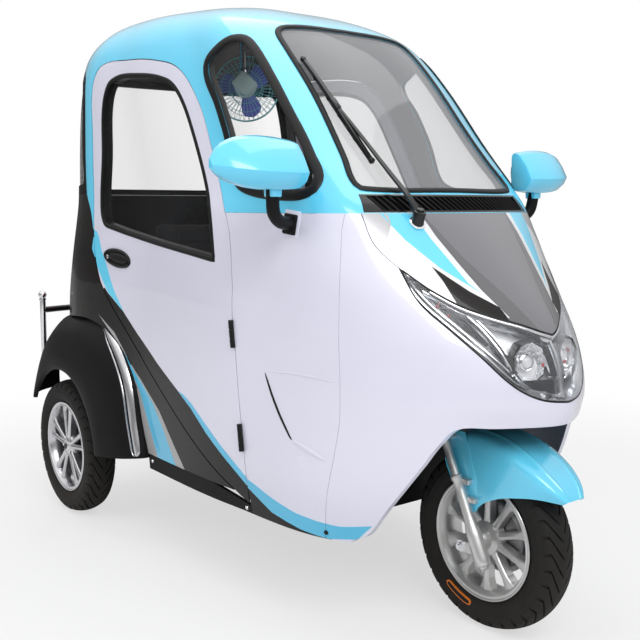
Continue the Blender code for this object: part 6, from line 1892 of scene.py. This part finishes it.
show(smooth(pod, 45), "display_pod", "gloss_black", "steering")
screen = bevelled(block((-0.018, -0.044, 0.0145), (0.018, 0.044, 0.0162)), 0.0008, 1)
screen.data.transform(Matrix.Translation(BAR_CENTRE) @ rake)
show(screen, "display_window", "glass", "steering")


# Floor, backdrop, lamps and camera
CAMERA_PLACE = Vector((2.4649, -1.8413, 1.1291))
CAMERA_AZIMUTH = math.radians(52.09)
CAMERA_DOWN = math.radians(6.70)


def set_camera():
    ahead = Vector((-math.sin(CAMERA_AZIMUTH) * math.cos(CAMERA_DOWN),
                    math.cos(CAMERA_AZIMUTH) * math.cos(CAMERA_DOWN), -math.sin(CAMERA_DOWN)))
    across = Vector((math.cos(CAMERA_AZIMUTH), math.sin(CAMERA_AZIMUTH), 0))
    up = across.cross(ahead)
    data = bpy.data.cameras.new("camera")
    data.lens = 52.0
    data.sensor_width = 36.0
    data.shift_x = -0.0015
    data.shift_y = -0.0094
    item = bpy.data.objects.new("camera", data)
    bpy.context.scene.collection.objects.link(item)
    turn = Matrix((across, up, -ahead)).transposed().to_4x4()
    item.matrix_world = Matrix.Translation(CAMERA_PLACE) @ turn
    bpy.context.scene.camera = item


def area_light(name, place, target, size, power, mirrored=True):
    data = bpy.data.lights.new(name, "AREA")
    data.shape = "RECTANGLE"
    data.size, data.size_y = size
    data.energy = power
    item = bpy.data.objects.new(name, data)
    bpy.context.scene.collection.objects.link(item)
    item.location = place
    item.visible_glossy = mirrored
    item.rotation_mode = "QUATERNION"
    item.rotation_quaternion = (Vector(target) - Vector(place)).to_track_quat("-Z", "Y")


def white_for_eye(tree):
    """One for camera and transmission rays, nought for the rest."""
    path = tree.nodes.new("ShaderNodeLightPath")
    either = tree.nodes.new("ShaderNodeMath")
    either.operation = "MAXIMUM"
    tree.links.new(path.outputs["Is Camera Ray"], either.inputs[0])
    tree.links.new(path.outputs["Is Transmission Ray"], either.inputs[1])
    return either.outputs["Value"]


def world_strength(tree):
    """White for the eye, a soft grey for diffuse light, and a room that darkens downwards
    for mirror reflections."""
    place = tree.nodes.new("ShaderNodeTexCoord")
    split = tree.nodes.new("ShaderNodeSeparateXYZ")
    tree.links.new(place.outputs["Generated"], split.inputs["Vector"])
    room = tree.nodes.new("ShaderNodeMapRange")
    room.interpolation_type = "SMOOTHSTEP"
    for key, value in (("From Min", -0.05), ("From Max", 0.75), ("To Min", 0.10),
                       ("To Max", 1.05)):
        room.inputs[key].default_value = value
    tree.links.new(split.outputs["Z"], room.inputs["Value"])
    path = tree.nodes.new("ShaderNodeLightPath")
    mirror = tree.nodes.new("ShaderNodeMix")
    mirror.inputs["A"].default_value = 0.42
    tree.links.new(path.outputs["Is Glossy Ray"], mirror.inputs["Factor"])
    tree.links.new(room.outputs["Result"], mirror.inputs["B"])
    eye = tree.nodes.new("ShaderNodeMix")
    eye.inputs["B"].default_value = 1.0
    tree.links.new(white_for_eye(tree), eye.inputs["Factor"])
    tree.links.new(mirror.outputs["Result"], eye.inputs["A"])
    return eye.outputs["Result"]


def floor_finish():
    """Pale floor that keeps the shadow near the object and is plain white far off."""
    made = finish("pale_floor", (0.86, 0.86, 0.86), 0.7, vary=0.01, bump=0)
    tree = made.node_tree
    shader = tree.nodes["Principled BSDF"]
    shader.inputs["Specular IOR Level"].default_value = 0.1
    glow = tree.nodes.new("ShaderNodeEmission")
    place = tree.nodes.new("ShaderNodeTexCoord")
    far = tree.nodes.new("ShaderNodeVectorMath")
    far.operation = "LENGTH"
    tree.links.new(place.outputs["Object"], far.inputs[0])
    fade = tree.nodes.new("ShaderNodeMapRange")
    fade.interpolation_type = "SMOOTHSTEP"
    fade.inputs["From Min"].default_value = 1.2
    fade.inputs["From Max"].default_value = 3.2
    fade.inputs["To Min"].default_value = 0.62
    tree.links.new(far.outputs["Value"], fade.inputs["Value"])
    both = tree.nodes.new("ShaderNodeMath")
    both.operation = "MULTIPLY"
    tree.links.new(fade.outputs["Result"], both.inputs[0])
    tree.links.new(white_for_eye(tree), both.inputs[1])
    mix = tree.nodes.new("ShaderNodeMixShader")
    tree.links.new(both.outputs["Value"], mix.inputs["Fac"])
    tree.links.new(shader.outputs["BSDF"], mix.inputs[1])
    tree.links.new(glow.outputs["Emission"], mix.inputs[2])
    tree.links.new(mix.outputs["Shader"], tree.nodes["Material Output"].inputs["Surface"])
    return made


def set_stage():
    scene = bpy.context.scene
    scene.view_settings.view_transform = "Standard"
    world = bpy.data.worlds.new("studio")
    world.use_nodes = True
    scene.world = world
    tree = world.node_tree
    back = tree.nodes["Background"]
    back.inputs["Color"].default_value = (1, 1, 1, 1)
    tree.links.new(world_strength(tree), back.inputs["Strength"])
    work = bmesh.new()
    bmesh.ops.create_grid(work, x_segments=1, y_segments=1, size=30.0)
    floor = from_bmesh("studio_floor", work)
    for group in list(floor.users_collection):
        group.objects.unlink(floor)
    scene.collection.objects.link(floor)
    floor.data.materials.append(floor_finish())
    area_light("key", (3.4, -1.2, 3.4), (0.0, 0.0, 0.8), (2.6, 2.0), 88)
    area_light("side", (-0.4, -4.0, 3.0), (0.0, 0.0, 0.8), (3.2, 2.0), 46, False)
    area_light("top", (-0.3, 0.3, 4.2), (-0.1, 0.0, 1.0), (3.6, 3.0), 48)
    area_light("rear", (-3.8, 1.6, 2.6), (-0.4, 0.0, 0.9), (2.4, 2.4), 30, False)


set_camera()
set_stage()

for name, look in {"chassis_frame": "steel", "rear_axle": "steel", "floor_pan": "black",
                   "rear_tub": "black", "wheel_liner": "black", "seat_base": "black",
                   "battery_block": "black", "dashboard": "black"}.items():
    node = frame["nodes"][name]
    node.data.materials.clear()
    node.data.materials.append(FINISH[look])

for item in list(workshop.objects):
    bpy.data.objects.remove(item, do_unlink=True)
bpy.data.collections.remove(workshop)
